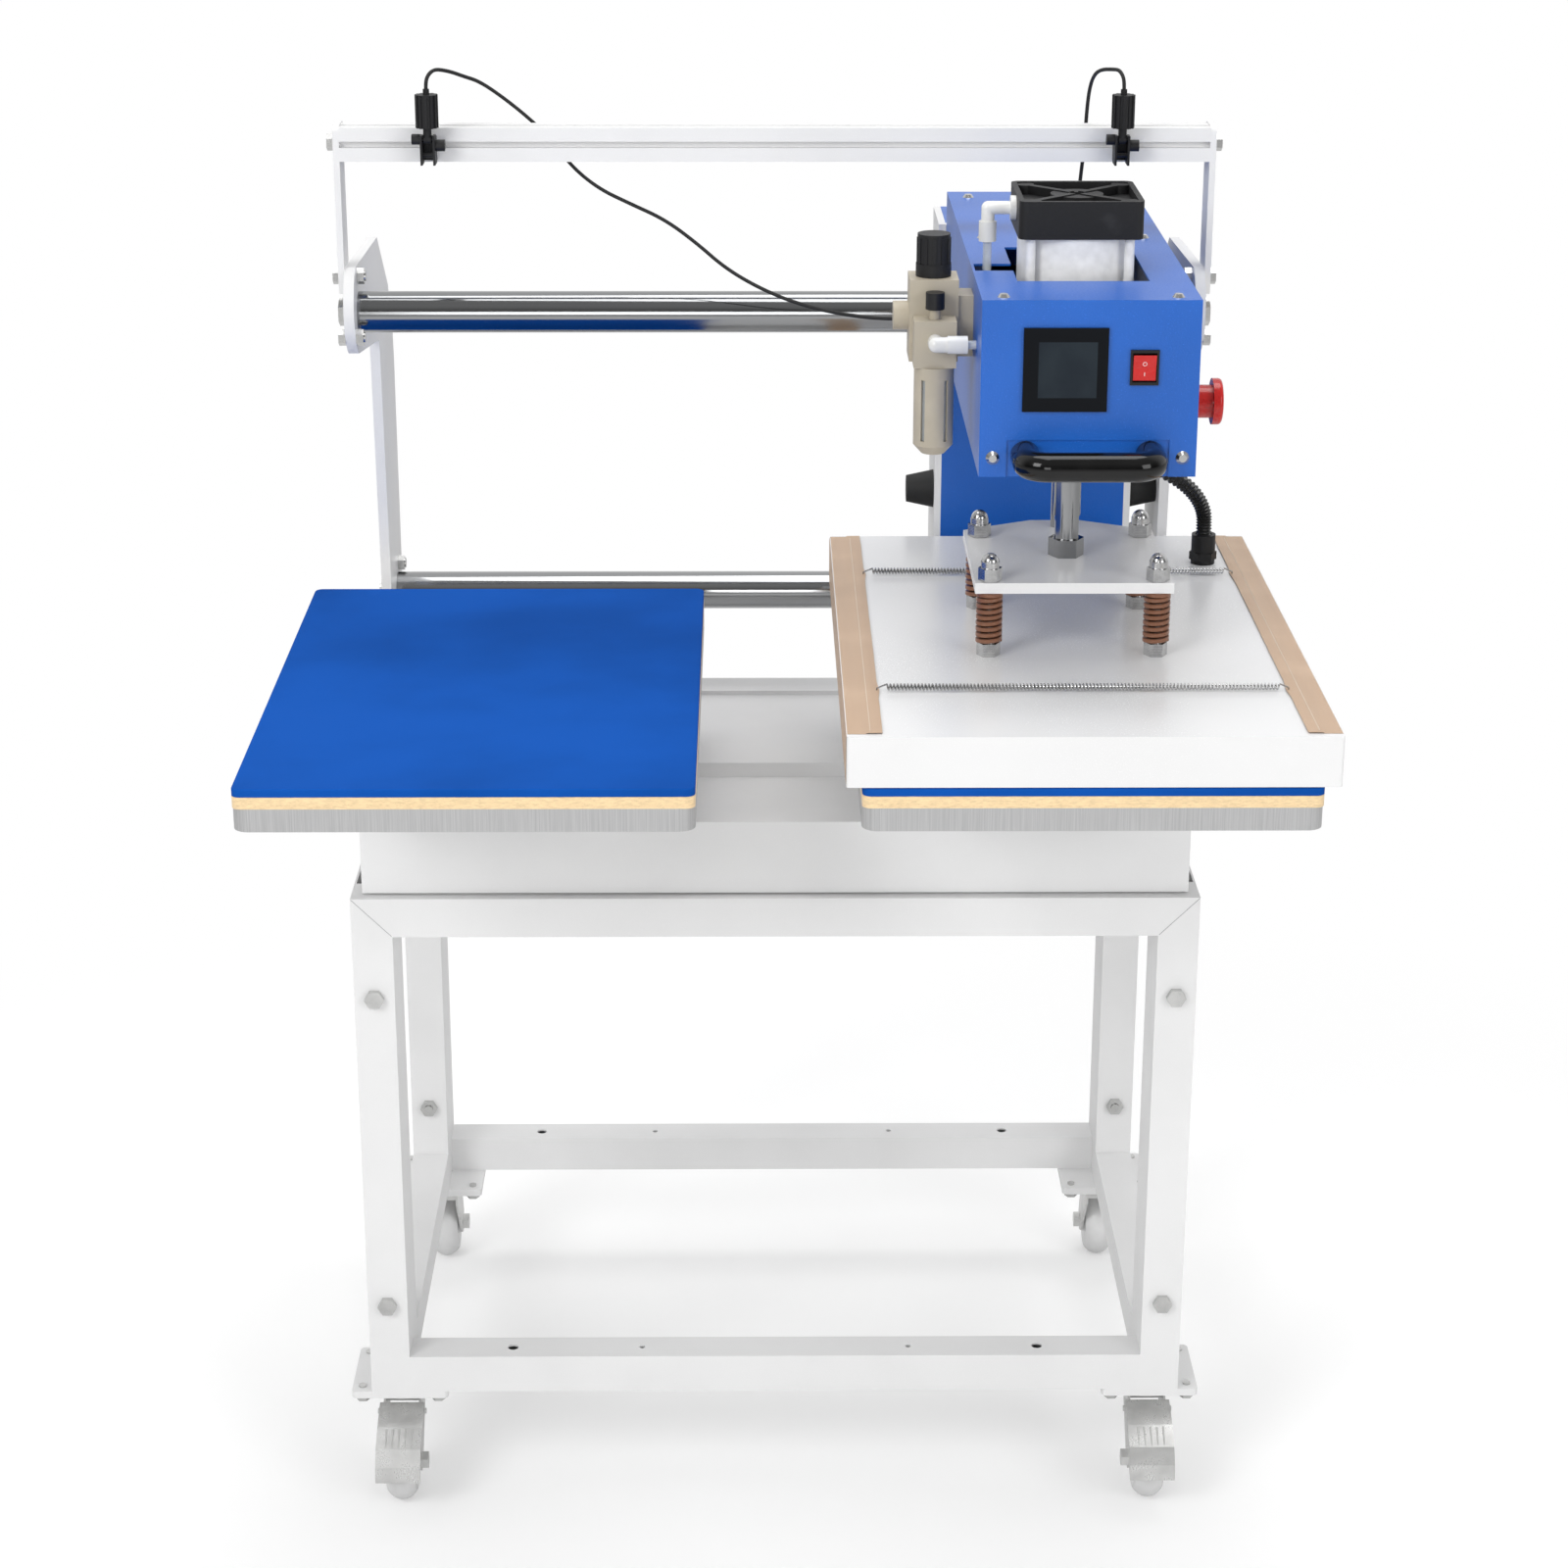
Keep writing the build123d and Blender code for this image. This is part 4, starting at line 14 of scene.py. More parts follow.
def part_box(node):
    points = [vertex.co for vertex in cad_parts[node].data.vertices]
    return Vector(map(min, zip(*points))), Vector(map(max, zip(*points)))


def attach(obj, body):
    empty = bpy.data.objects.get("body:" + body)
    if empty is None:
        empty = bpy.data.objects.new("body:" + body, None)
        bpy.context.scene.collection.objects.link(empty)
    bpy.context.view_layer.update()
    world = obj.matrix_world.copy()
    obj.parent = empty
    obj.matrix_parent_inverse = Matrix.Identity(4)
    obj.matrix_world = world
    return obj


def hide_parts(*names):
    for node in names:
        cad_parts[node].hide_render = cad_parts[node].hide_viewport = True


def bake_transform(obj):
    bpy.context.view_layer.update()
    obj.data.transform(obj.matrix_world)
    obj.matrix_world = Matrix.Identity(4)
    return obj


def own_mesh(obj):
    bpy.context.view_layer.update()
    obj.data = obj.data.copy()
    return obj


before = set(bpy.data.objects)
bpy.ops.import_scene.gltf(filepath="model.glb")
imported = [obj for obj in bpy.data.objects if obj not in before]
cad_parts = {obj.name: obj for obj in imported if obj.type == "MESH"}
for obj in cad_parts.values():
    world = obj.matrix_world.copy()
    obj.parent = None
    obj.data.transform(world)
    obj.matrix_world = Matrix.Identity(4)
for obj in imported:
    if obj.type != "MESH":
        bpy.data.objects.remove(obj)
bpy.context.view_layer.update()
ORIGIN = (0.0073, 0.1295)
PLATEN_WIDTH = 0.4
SPRING_RADIUS = 0.0123
CONDUIT_RADIUS = 0.008
WHITE_LIGHT = (1.0, 1.0, 1.0, 1.0)
TOUCHING = 1e-5

log = logging.getLogger("heat_press")

Colour = tuple[float, float, float]
Place = tuple[float, float, float]


class Body(Enum):
    """Bodies of the frame that new pieces ride on."""

    STAND = "stand"
    HEAD = "head"
    PRESS = "press"
    HEATER = "heater"
    ROCKER = "power_rocker"


class Way(Enum):
    """Directions in which a streaked finish runs."""

    X = (0.02, 1.0, 1.0)
    Z = (1.0, 1.0, 0.02)


# Shader building

class Number:
    """A shader value that takes part in Python expressions."""

    def __init__(self, surface: "Surface", socket: bpy.types.NodeSocket) -> None:
        """Wraps one output socket.

        Args:
            surface: The surface whose tree holds the socket.
            socket: The output that carries the value.
        """
        self.surface = surface
        self.socket = socket

    def _math(self, operation: str, first: object, second: object = None) -> "Number":
        """Adds one Math node.

        Args:
            operation: The Math node's operation.
            first: A number or a plain float.
            second: A number or a plain float, or None.

        Returns:
            The node's result.
        """
        inputs = {0: first} if second is None else {0: first, 1: second}
        return self.surface.node("ShaderNodeMath", {"operation": operation}, inputs)

    def __add__(self, other: object) -> "Number":
        """Returns self + other."""
        return self._math("ADD", self, other)

    def __mul__(self, other: object) -> "Number":
        """Returns self * other."""
        return self._math("MULTIPLY", self, other)

    def __sub__(self, other: object) -> "Number":
        """Returns self - other."""
        return self._math("SUBTRACT", self, other)

    def __rsub__(self, other: object) -> "Number":
        """Returns other - self."""
        return self._math("SUBTRACT", other, self)

    def __pow__(self, other: object) -> "Number":
        """Returns self to the power of other."""
        return self._math("POWER", self, other)

    def above(self, edge: float) -> "Number":
        """Returns 1 where the value is over the edge, else 0."""
        return self._math("GREATER_THAN", self, edge)

    def wave(self) -> "Number":
        """Returns the sine of the value."""
        return self._math("SINE", self)

    def size(self) -> "Number":
        """Returns the value without its sign."""
        return self._math("ABSOLUTE", self)

    def smooth(self, low: float, high: float) -> "Number":
        """Eases from 0 at low to 1 at high.

        Args:
            low: The value at which the result is 0.
            high: The value at which the result is 1.

        Returns:
            The eased value.
        """
        inputs = {0: self, 1: low, 2: high, 3: 0.0, 4: 1.0}
        return self.surface.node("ShaderNodeMapRange", {"interpolation_type": "SMOOTHSTEP"}, inputs)


class Surface:
    """The node tree of one material while it is built."""

    def __init__(self, name: str, owner: bpy.types.ID | None = None) -> None:
        """Starts an empty tree.

        Args:
            name: The new material's name.
            owner: The world that holds the tree, or None for a new material.
        """
        self.material = owner or bpy.data.materials.new(name)
        self.material.use_nodes = True
        self.tree = self.material.node_tree
        self.tree.nodes.clear()
        self.place = self.node("ShaderNodeTexCoord", {}, {}, "Object")

    def node(self, kind: str, settings: dict, inputs: dict, output: object = 0) -> Number:
        """Adds one node.

        Args:
            kind: The node's type.
            settings: Attributes that are set first.
            inputs: Values or Numbers by socket name or index.
            output: The name or index of the wanted output.

        Returns:
            The wanted output.
        """
        made = self.tree.nodes.new(kind)
        for name, value in settings.items():
            setattr(made, name, value)
        for name, value in inputs.items():
            socket = made.inputs[name]
            if isinstance(value, Number):
                self.tree.links.new(value.socket, socket)
            else:
                socket.default_value = value
        return Number(self, made.outputs[output]) if len(made.outputs) else Number(self, None)

    def stretched(self, way: Sequence[float]) -> Number:
        """Returns the object's own coordinates, scaled along each axis by way."""
        return self.node("ShaderNodeMapping", {}, {"Vector": self.place, "Scale": tuple(way)})

    def noise(self, scale: float, detail: float = 3.0, at: Number | None = None,
              rough: float = 0.5) -> Number:
        """Adds a noise texture.

        Args:
            scale: Grains for each metre.
            detail: Layers of finer noise.
            at: Coordinates, or None for the object's own.
            rough: Strength of the finer layers.

        Returns:
            The noise, about 0.5 on average.
        """
        inputs = {"Vector": at or self.place, "Scale": scale, "Detail": detail, "Roughness": rough}
        return self.node("ShaderNodeTexNoise", {}, inputs, "Fac")

    def cells(self, scale: float, at: Number | None = None) -> Number:
        """Returns a Voronoi texture's distance to the nearest cell centre."""
        inputs = {"Vector": at or self.place, "Scale": scale}
        return self.node("ShaderNodeTexVoronoi", {}, inputs, "Distance")

    def axis(self, name: str) -> Number:
        """Returns one coordinate, named X, Y or Z, of the object's own place in metres."""
        return self.node("ShaderNodeSeparateXYZ", {}, {0: self.place}, name)

    def blend(self, share: Number, low: object, high: object) -> Number:
        """Mixes two colours.

        Args:
            share: 0 for low and 1 for high.
            low: A colour or a colour output.
            high: A colour or a colour output.

        Returns:
            The mixed colour.
        """
        def full(colour: object) -> object:
            """Returns the colour with its alpha."""
            return colour if isinstance(colour, Number) else (*colour, 1.0)

        return self.node("ShaderNodeMix", {"data_type": "RGBA"},
                         {0: share, 6: full(low), 7: full(high)}, 2)

    def bump(self, height: Number, strength: float, distance: float) -> Number:
        """Returns a normal raised by height times distance in metres."""
        inputs = {"Height": height, "Strength": strength, "Distance": distance}
        return self.node("ShaderNodeBump", {}, inputs)

    def close(self, shader: Number, kind: str = "ShaderNodeOutputMaterial") -> bpy.types.ID:
        """Links a shader to the tree's output.

        Args:
            shader: The shader.
            kind: The output node's type.

        Returns:
            The material or world.
        """
        self.node(kind, {}, {0: shader})
        return self.material

    def finish(self, **sockets: object) -> bpy.types.Material:
        """Closes the material with one principled shader.

        Args:
            **sockets: Shader inputs by name, with _ for each space.

        Returns:
            The material.
        """
        inputs = {name.replace("_", " "): value for name, value in sockets.items()}
        return self.close(self.node("ShaderNodeBsdfPrincipled", {}, inputs))


# Finishes

@dataclass(frozen=True)
class PowderCoat:
    """Sprayed powder paint with a fine orange-peel surface and a little dust."""

    colour: Colour
    peel: float = 900.0
    depth: float = 0.00012
    roughness: float = 0.42
    dust: float = 0.12
    shine: float = 0.35

    def make(self, name: str) -> bpy.types.Material:
        """Returns the material."""
        surface = Surface(name)
        cloud = surface.noise(7.0, 4.0)
        fine = surface.noise(self.peel, 2.0)
        dull = tuple(channel * (1.0 - self.dust) for channel in self.colour)
        tone = surface.blend(cloud.smooth(0.35, 0.75), self.colour, dull)
        speck = (surface.noise(self.peel * 1.7, 1.0).smooth(0.66, 0.74)) * 0.35
        tone = surface.blend(speck, tone, tuple(min(1.0, c * 1.6 + 0.03) for c in self.colour))
        return surface.finish(
            Base_Color=tone, Roughness=fine * 0.16 + cloud * 0.08 + (self.roughness - 0.12),
            Normal=surface.bump(fine, 0.5, self.depth), Specular_IOR_Level=self.shine)


@dataclass(frozen=True)
class Plated:
    """Zinc or nickel plate, with the blotches and hairlines of rolled stock."""

    colour: Colour = (0.74, 0.74, 0.73)
    roughness: float = 0.27
    way: Way = Way.Z
    hairline: float = 1400.0
    metal: float = 1.0

    def make(self, name: str) -> bpy.types.Material:
        """Returns the material."""
        surface = Surface(name)
        blotch = surface.noise(60.0, 5.0)
        hair = surface.noise(self.hairline, 2.0, surface.stretched(self.way.value))
        dark = tuple(channel * 0.84 for channel in self.colour)
        tone = surface.blend(blotch.smooth(0.3, 0.72), self.colour, dark)
        return surface.finish(
            Base_Color=tone, Metallic=self.metal, Normal=surface.bump(hair, 0.25, 0.00004),
            Roughness=blotch * 0.1 + hair * 0.08 + (self.roughness - 0.08))


@dataclass(frozen=True)
class HardChrome:
    """Ground and chromed shaft, with faint grinding rings and an oily film."""

    colour: Colour = (0.36, 0.365, 0.37)
    roughness: float = 0.07
    way: Way = Way.X

    def make(self, name: str) -> bpy.types.Material:
        """Returns the material."""
        surface = Surface(name)
        film = surface.noise(9.0, 4.0, surface.stretched(self.way.value))
        ring = surface.noise(2600.0, 1.0, surface.stretched(
            tuple(1.0 if part < 0.5 else 0.02 for part in self.way.value)))
        tone = surface.blend(film.smooth(0.3, 0.7), self.colour, (0.28, 0.285, 0.29))
        return surface.finish(Base_Color=tone, Metallic=1.0, Roughness=film * 0.08 + self.roughness,
                              Normal=surface.bump(ring, 0.12, 0.00001))


@dataclass(frozen=True)
class MilledBoard:
    """Sawn aluminium board: upright cutter lines round its edge, matt faces."""

    colour: Colour = (0.54, 0.54, 0.54)

    def make(self, name: str) -> bpy.types.Material:
        """Returns the material."""
        surface = Surface(name)
        lines = surface.noise(900.0, 3.0, surface.stretched((1.0, 1.0, 0.01)), 0.7)
        patch = surface.noise(14.0, 4.0)
        tone = surface.blend(lines.smooth(0.3, 0.7), self.colour, (0.42, 0.42, 0.425))
        return surface.finish(Base_Color=tone, Metallic=0.55, Roughness=patch * 0.2 + 0.38,
                              Normal=surface.bump(lines, 0.5, 0.0002))


@dataclass(frozen=True)
class CastPaint:
    """Satin paint over sand-cast metal."""

    colour: Colour
    grain: float = 420.0
    depth: float = 0.0004
    roughness: float = 0.5

    def make(self, name: str) -> bpy.types.Material:
        """Returns the material."""
        surface = Surface(name)
        grain = surface.noise(self.grain, 5.0, rough=0.65)
        wear = surface.noise(22.0, 4.0).smooth(0.62, 0.78)
        tone = surface.blend(wear * 0.4, self.colour, tuple(c * 1.8 + 0.02 for c in self.colour))
        return surface.finish(Base_Color=tone, Roughness=grain * 0.2 + (self.roughness - 0.1),
                              Normal=surface.bump(grain, 0.5, self.depth), Specular_IOR_Level=0.3)


@dataclass(frozen=True)
class SpongeRubber:
    """Closed-cell silicone sponge: fine pores darkened with painted shade, and cloudy colour."""

    colour: Colour
    pores: float = 1500.0
    roughness: float = 0.78

    def make(self, name: str) -> bpy.types.Material:
        """Returns the material."""
        surface = Surface(name)
        pores = surface.cells(self.pores)
        cloud = surface.noise(5.0, 5.0)
        pit = pores.smooth(0.0, 0.35)
        deep = tuple(channel * 0.78 for channel in self.colour)
        tone = surface.blend(cloud.smooth(0.3, 0.7), self.colour, deep)
        # painted shade: the pores are darkened towards half the colour, as shade inside them
        tone = surface.blend((1 - pit) * 0.35, tone, tuple(c * 0.5 for c in self.colour))
        return surface.finish(Base_Color=tone, Roughness=cloud * 0.12 + (self.roughness - 0.06),
                              Normal=surface.bump(pit, 0.35, 0.00012), Specular_IOR_Level=0.06)


@dataclass(frozen=True)
class Felt:
    """Needled felt sheet with loose fibres."""

    colour: Colour

    def make(self, name: str) -> bpy.types.Material:
        """Returns the material."""
        surface = Surface(name)
        fibre = surface.noise(700.0, 6.0, surface.stretched((0.25, 0.25, 1.0)), 0.75)
        cloud = surface.noise(40.0, 3.0)
        tone = surface.blend(fibre.smooth(0.3, 0.75), self.colour,
                             tuple(channel * 0.72 for channel in self.colour))
        return surface.finish(Base_Color=tone, Roughness=cloud * 0.05 + 0.9,
                              Normal=surface.bump(fibre, 0.7, 0.0004), Sheen_Weight=0.3)


@dataclass(frozen=True)
class GlassCloth:
    """Coated glass cloth: a square weave under a waxy film. Reads the piece's own UV map in metres."""

    colour: Colour = (0.57, 0.39, 0.255)
    threads: float = 1100.0

    def make(self, name: str) -> bpy.types.Material:
        """Returns the material."""
        surface = Surface(name)
        across = surface.node("ShaderNodeUVMap", {}, {})
        turns = 2.0 * math.pi * self.threads
        warp = surface.node("ShaderNodeSeparateXYZ", {}, {0: across}, "X") * turns
        weft = surface.node("ShaderNodeSeparateXYZ", {}, {0: across}, "Y") * turns
        weave = warp.wave() * weft.wave()
        cloud = surface.noise(16.0, 5.0)
        tone = surface.blend(weave * 0.3 + 0.3, self.colour, tuple(c * 0.8 for c in self.colour))
        tone = surface.blend(cloud.smooth(0.45, 0.8) * 0.5, tone, (0.68, 0.5, 0.35))
        return surface.finish(Base_Color=tone, Roughness=cloud * 0.2 + 0.36,
                              Normal=surface.bump(weave, 0.35, 0.00015), Coat_Weight=0.15,
                              Coat_Roughness=0.3)


@dataclass(frozen=True)
class Moulded:
    """Injection-moulded plastic or rubber with a spark-eroded grain."""

    colour: Colour
    roughness: float = 0.45
    grain: float = 1300.0
    depth: float = 0.0001
    coat: float = 0.0
    shine: float = 0.3

    def make(self, name: str) -> bpy.types.Material:
        """Returns the material."""
        surface = Surface(name)
        grain = surface.noise(self.grain, 3.0)
        cloud = surface.noise(25.0, 4.0)
        pale = tuple(min(1.0, channel * 1.25 + 0.006) for channel in self.colour)
        tone = surface.blend(cloud.smooth(0.45, 0.8) * 0.6, self.colour, pale)
        return surface.finish(Base_Color=tone, Roughness=cloud * 0.12 + (self.roughness - 0.06),
                              Normal=surface.bump(grain, 0.4, self.depth), Coat_Weight=self.coat,
                              Coat_Roughness=0.06, Specular_IOR_Level=self.shine)


@dataclass(frozen=True)
class Threaded:
    """Bright screw stock whose thread shows as fine rings along one axis."""

    colour: Colour = (0.72, 0.72, 0.71)
    axis: str = "Z"
    pitch: float = 0.0015
    roughness: float = 0.24

    def make(self, name: str) -> bpy.types.Material:
        """Returns the material."""
        surface = Surface(name)
        ring = (surface.axis(self.axis) * (2.0 * math.pi / self.pitch)).wave()
        blotch = surface.noise(120.0, 4.0)
        tone = surface.blend(blotch.smooth(0.35, 0.7), self.colour, tuple(c * 0.75 for c in self.colour))
        return surface.finish(Base_Color=tone, Metallic=1.0, Roughness=blotch * 0.15 + self.roughness,
                              Normal=surface.bump(ring, 0.2, 0.0001))


@dataclass(frozen=True)
class PaintedSpring:
    """Heavy spring painted brown, with bright chips where the paint is worn."""

    colour: Colour = (0.16, 0.065, 0.032)

    def make(self, name: str) -> bpy.types.Material:
        """Returns the material."""
        surface = Surface(name)
        chip = surface.noise(380.0, 5.0, rough=0.7).smooth(0.6, 0.72)
        tone = surface.blend(chip * 0.6, self.colour, (0.34, 0.2, 0.13))
        return surface.finish(Base_Color=tone, Roughness=chip * 0.12 + 0.34, Coat_Weight=0.3,
                              Normal=surface.bump(surface.noise(900.0, 3.0), 0.3, 0.0001))


@dataclass(frozen=True)
class ClearPlastic:
    """Thin see-through plastic, such as air tube."""

    colour: Colour = (0.82, 0.86, 0.88)
    cover: float = 0.42

    def make(self, name: str) -> bpy.types.Material:
        """Returns the material."""
        surface = Surface(name)
        haze = surface.noise(90.0, 3.0)
        tone = surface.blend(haze.smooth(0.4, 0.7), self.colour, (0.66, 0.7, 0.72))
        return surface.finish(Base_Color=tone, Roughness=haze * 0.1 + 0.1,
                              Alpha=haze * 0.25 + (self.cover - 0.12), Coat_Weight=0.4)


@dataclass(frozen=True)
class ScreenGlass:
    """Front glass of the display: black round the edge, with an unlit grey-blue panel in it."""

    middle: Place
    half_width: float
    half_height: float
    border: Colour = (0.006, 0.007, 0.009)
    panel: Colour = (0.016, 0.022, 0.03)

    def make(self, name: str) -> bpy.types.Material:
        """Returns the material."""
        surface = Surface(name)
        aside = (surface.axis("X") - self.middle[0]).size()
        rise = (surface.axis("Z") - self.middle[2]).size()
        within = (1 - aside.above(self.half_width)) * (1 - rise.above(self.half_height))
        haze = surface.noise(30.0, 4.0)
        lit = surface.blend(haze.smooth(0.3, 0.7), self.panel, (0.021, 0.029, 0.037))
        tone = surface.blend(within, self.border, lit)
        return surface.finish(Base_Color=tone, Roughness=within * 0.16 + 0.08, Specular_IOR_Level=0.12)


@dataclass(frozen=True)
class CappedPlastic:
    """Pale plastic body whose small lock knob, above one level and before one depth, is black."""

    colour: Colour
    knob: Colour
    level: float
    depth: float

    def make(self, name: str) -> bpy.types.Material:
        """Returns the material."""
        surface = Surface(name)
        cap = surface.axis("Z").above(self.level) * (1 - surface.axis("Y").above(self.depth))
        cloud = surface.noise(25.0, 4.0)
        pale = tuple(channel * 1.2 for channel in self.colour)
        tone = surface.blend(cloud.smooth(0.45, 0.8) * 0.6, self.colour, pale)
        tone = surface.blend(cap, tone, self.knob)
        return surface.finish(Base_Color=tone, Roughness=cloud * 0.12 + 0.36, Specular_IOR_Level=0.35,
                              Normal=surface.bump(surface.noise(1300.0), 0.4, 0.0001))


class Finishes:
    """Every finish of the press, made once and handed out by name."""

    WHITE: Colour = (0.8, 0.8, 0.8)
    BLUE: Colour = (0.002, 0.112, 0.52)
    PAD_BLUE: Colour = (0.005, 0.088, 0.43)
    FELT: Colour = (0.93, 0.7, 0.41)
    BLACK: Colour = (0.012, 0.012, 0.013)
    BEIGE: Colour = (0.47, 0.42, 0.33)
    RED: Colour = (0.55, 0.01, 0.008)

    def __init__(self) -> None:
        """Makes the materials."""
        self.white_paint = PowderCoat(self.WHITE, dust=0.05).make("white_powder_coat")
        self.gloss_white = PowderCoat((0.8, 0.8, 0.8), 700.0, 0.00006, 0.24, 0.03,
                                      0.6).make("gloss_white_coat")
        self.blue_paint = PowderCoat(self.BLUE, peel=520.0, depth=0.00035, roughness=0.34,
                                     dust=0.14, shine=0.6).make("blue_powder_coat")
        self.zinc = Plated((0.64, 0.64, 0.63), 0.2).make("zinc_plate")
        self.dull_zinc = Plated((0.68, 0.68, 0.67), 0.28, metal=0.6).make("dull_zinc_plate")
        self.fork_zinc = Plated((0.74, 0.74, 0.73), 0.3, metal=0.45).make("fork_zinc_plate")
        self.chrome = HardChrome().make("hard_chrome")
        self.rod_chrome = HardChrome((0.55, 0.55, 0.56), way=Way.Z, roughness=0.1).make("rod_chrome")
        self.board = MilledBoard().make("milled_board")
        self.cast_aluminium = Plated((0.66, 0.66, 0.66), 0.42).make("cast_aluminium")
        self.barrel = Plated((0.96, 0.96, 0.96), 0.42, Way.Z, metal=0.05).make("anodised_barrel")
        self.cast_black = CastPaint(self.BLACK).make("black_casting")
        self.pad = SpongeRubber(self.PAD_BLUE).make("blue_silicone_sponge")
        self.felt = Felt(self.FELT).make("cream_felt")
        self.cloth = GlassCloth().make("coated_glass_cloth")
        self.black = Moulded(self.BLACK).make("black_plastic")
        self.gloss_black = Moulded((0.004, 0.004, 0.004), 0.12, 300.0, 0.00002, 0.15).make("gloss_black")
        self.ribbed_black = Moulded((0.02, 0.02, 0.02), 0.3, 500.0, 0.00002, 0.3).make("ribbed_black")
        self.black_rubber = Moulded((0.018, 0.018, 0.018), 0.6, 800.0, 0.0002).make("black_rubber")
        self.white_plastic = Moulded((0.74, 0.74, 0.72), 0.25, 500.0, 0.00003, 0.3).make("white_plastic")
        self.wheel = Moulded((0.7, 0.7, 0.7), 0.34, 700.0, 0.00006, 0.2).make("white_nylon")
        self.beige = Moulded(self.BEIGE, 0.42).make("beige_plastic")
        self.red = Moulded(self.RED, 0.28, 600.0, 0.00004, 0.4).make("red_plastic")
        self.clear = ClearPlastic().make("clear_tube")
        self.threaded = Threaded((0.6, 0.6, 0.6), roughness=0.12).make("threaded_stud")
        self.spring = PaintedSpring((0.21, 0.085, 0.042)).make("painted_spring")
        self.lock_body = CappedPlastic(self.BEIGE, self.BLACK, 1.2665, -0.196).make("lock_body")
        self.bright_wire = Plated((0.5, 0.5, 0.5), 0.25).make("bright_wire")
        self.thread_white = Moulded((0.78, 0.74, 0.66), 0.8, 1500.0, 0.0002).make("stitching")
        self.seam = Moulded((0.3, 0.3, 0.31), 0.6).make("seam_shade")
        self.mark_white = Moulded((0.85, 0.85, 0.85), 0.4).make("white_mark")


def dress(node: str, material: bpy.types.Material) -> None:
    """Gives a CAD node a material.

    Args:
        node: The node's name.
        material: The material.
    """
    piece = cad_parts[node]
    piece.data.materials.clear()
    piece.data.materials.append(material)
    log.info("dressed %s", node)


# Modelling

class Pick(Enum):
    """What an edit-mode selection is made of."""

    FACES = "FACE"
    EDGES = "EDGE"


class Bench:
    """Modelling with Blender's operators, one piece at a time."""

    @staticmethod
    def clear() -> None:
        """Deselects everything."""
        if bpy.context.object and bpy.context.object.mode != "OBJECT":
            bpy.ops.object.mode_set(mode="OBJECT")
        bpy.ops.object.select_all(action="DESELECT")

    @staticmethod
    def hold(piece: bpy.types.Object) -> bpy.types.Object:
        """Selects one piece alone and makes it active."""
        Bench.clear()
        piece.select_set(True)
        bpy.context.view_layer.objects.active = piece
        return piece

    @staticmethod
    def settle(piece: bpy.types.Object) -> bpy.types.Object:
        """Puts the piece's place, turn and scale into its mesh."""
        Bench.hold(piece)
        bpy.ops.object.transform_apply(location=True, rotation=True, scale=True)
        return piece

    @staticmethod
    def block(name: str, low: Vector, high: Vector) -> bpy.types.Object:
        """Adds a box between two corners.

        Args:
            name: The piece's name.
            low: The lowest corner.
            high: The highest corner.

        Returns:
            The piece.
        """
        Bench.clear()
        bpy.ops.mesh.primitive_cube_add(size=1.0, location=(low + high) / 2)
        piece = bpy.context.active_object
        piece.name = name
        piece.scale = high - low
        return Bench.settle(piece)

    @staticmethod
    def disc(name: str, middle: Vector, radius: float, depth: float, turn: Place,
             sides: int = 48) -> bpy.types.Object:
        """Adds a round piece.

        Args:
            name: The piece's name.
            middle: Its middle.
            radius: Its radius.
            depth: Its thickness.
            turn: Rotation in radians from standing along Z.
            sides: Its number of sides.

        Returns:
            The piece.
        """
        Bench.clear()
        bpy.ops.mesh.primitive_cylinder_add(vertices=sides, radius=radius, depth=depth,
                                            location=middle, rotation=turn)
        piece = bpy.context.active_object
        piece.name = name
        return Bench.settle(piece)

    @staticmethod
    def choose(piece: bpy.types.Object, kind: Pick, test: Callable[[object], bool]) -> int:
        """Opens edit mode with the faces or edges selected that pass a test.

        Args:
            piece: The piece to edit.
            kind: Faces or edges.
            test: Tells whether a bmesh face or edge is wanted.

        Returns:
            How many are selected.
        """
        Bench.hold(piece)
        bpy.ops.object.mode_set(mode="EDIT")
        bpy.ops.mesh.select_mode(type=kind.value)
        bpy.ops.mesh.select_all(action="DESELECT")
        mesh = bmesh.from_edit_mesh(piece.data)
        parts = mesh.faces if kind is Pick.FACES else mesh.edges
        chosen = [part for part in parts if test(part)]
        for part in chosen:
            part.select_set(True)
        bmesh.update_edit_mesh(piece.data)
        return len(chosen)

    @staticmethod
    def bevel(piece: bpy.types.Object, test: Callable[[object], bool], width: float,
              steps: int) -> bpy.types.Object:
        """Rounds the edges that pass a test.

        Args:
            piece: The piece.
            test: Tells whether an edge is wanted.
            width: The bevel's width.
            steps: Its segments.

        Returns:
            The piece.
        """
        if Bench.choose(piece, Pick.EDGES, test):
            bpy.ops.mesh.bevel(offset=width, segments=steps, affect="EDGES")
        bpy.ops.object.mode_set(mode="OBJECT")
        return piece

    @staticmethod
    def smooth(piece: bpy.types.Object, angle: float = 0.6) -> bpy.types.Object:
        """Shades a piece smoothly across angles under the given one, in radians."""
        Bench.hold(piece)
        bpy.ops.object.shade_smooth_by_angle(angle=angle)
        return piece

    @staticmethod
    def join(name: str, pieces: Sequence[bpy.types.Object]) -> bpy.types.Object:
        """Joins pieces into one.

        Args:
            name: The joined piece's name.
            pieces: The pieces.

        Returns:
            The joined piece.
        """
        Bench.hold(pieces[0])
        for piece in pieces[1:]:
            piece.select_set(True)
        bpy.ops.object.join()
        joined = bpy.context.active_object
        joined.name = name
        return joined

    @staticmethod
    def give(piece: bpy.types.Object, material: bpy.types.Material, slot: str) -> bpy.types.Object:
        """Gives a piece its material."""
        piece.data.materials.clear()
        piece.data.materials.append(material)
        log.info("made %s", piece.name)
        return piece


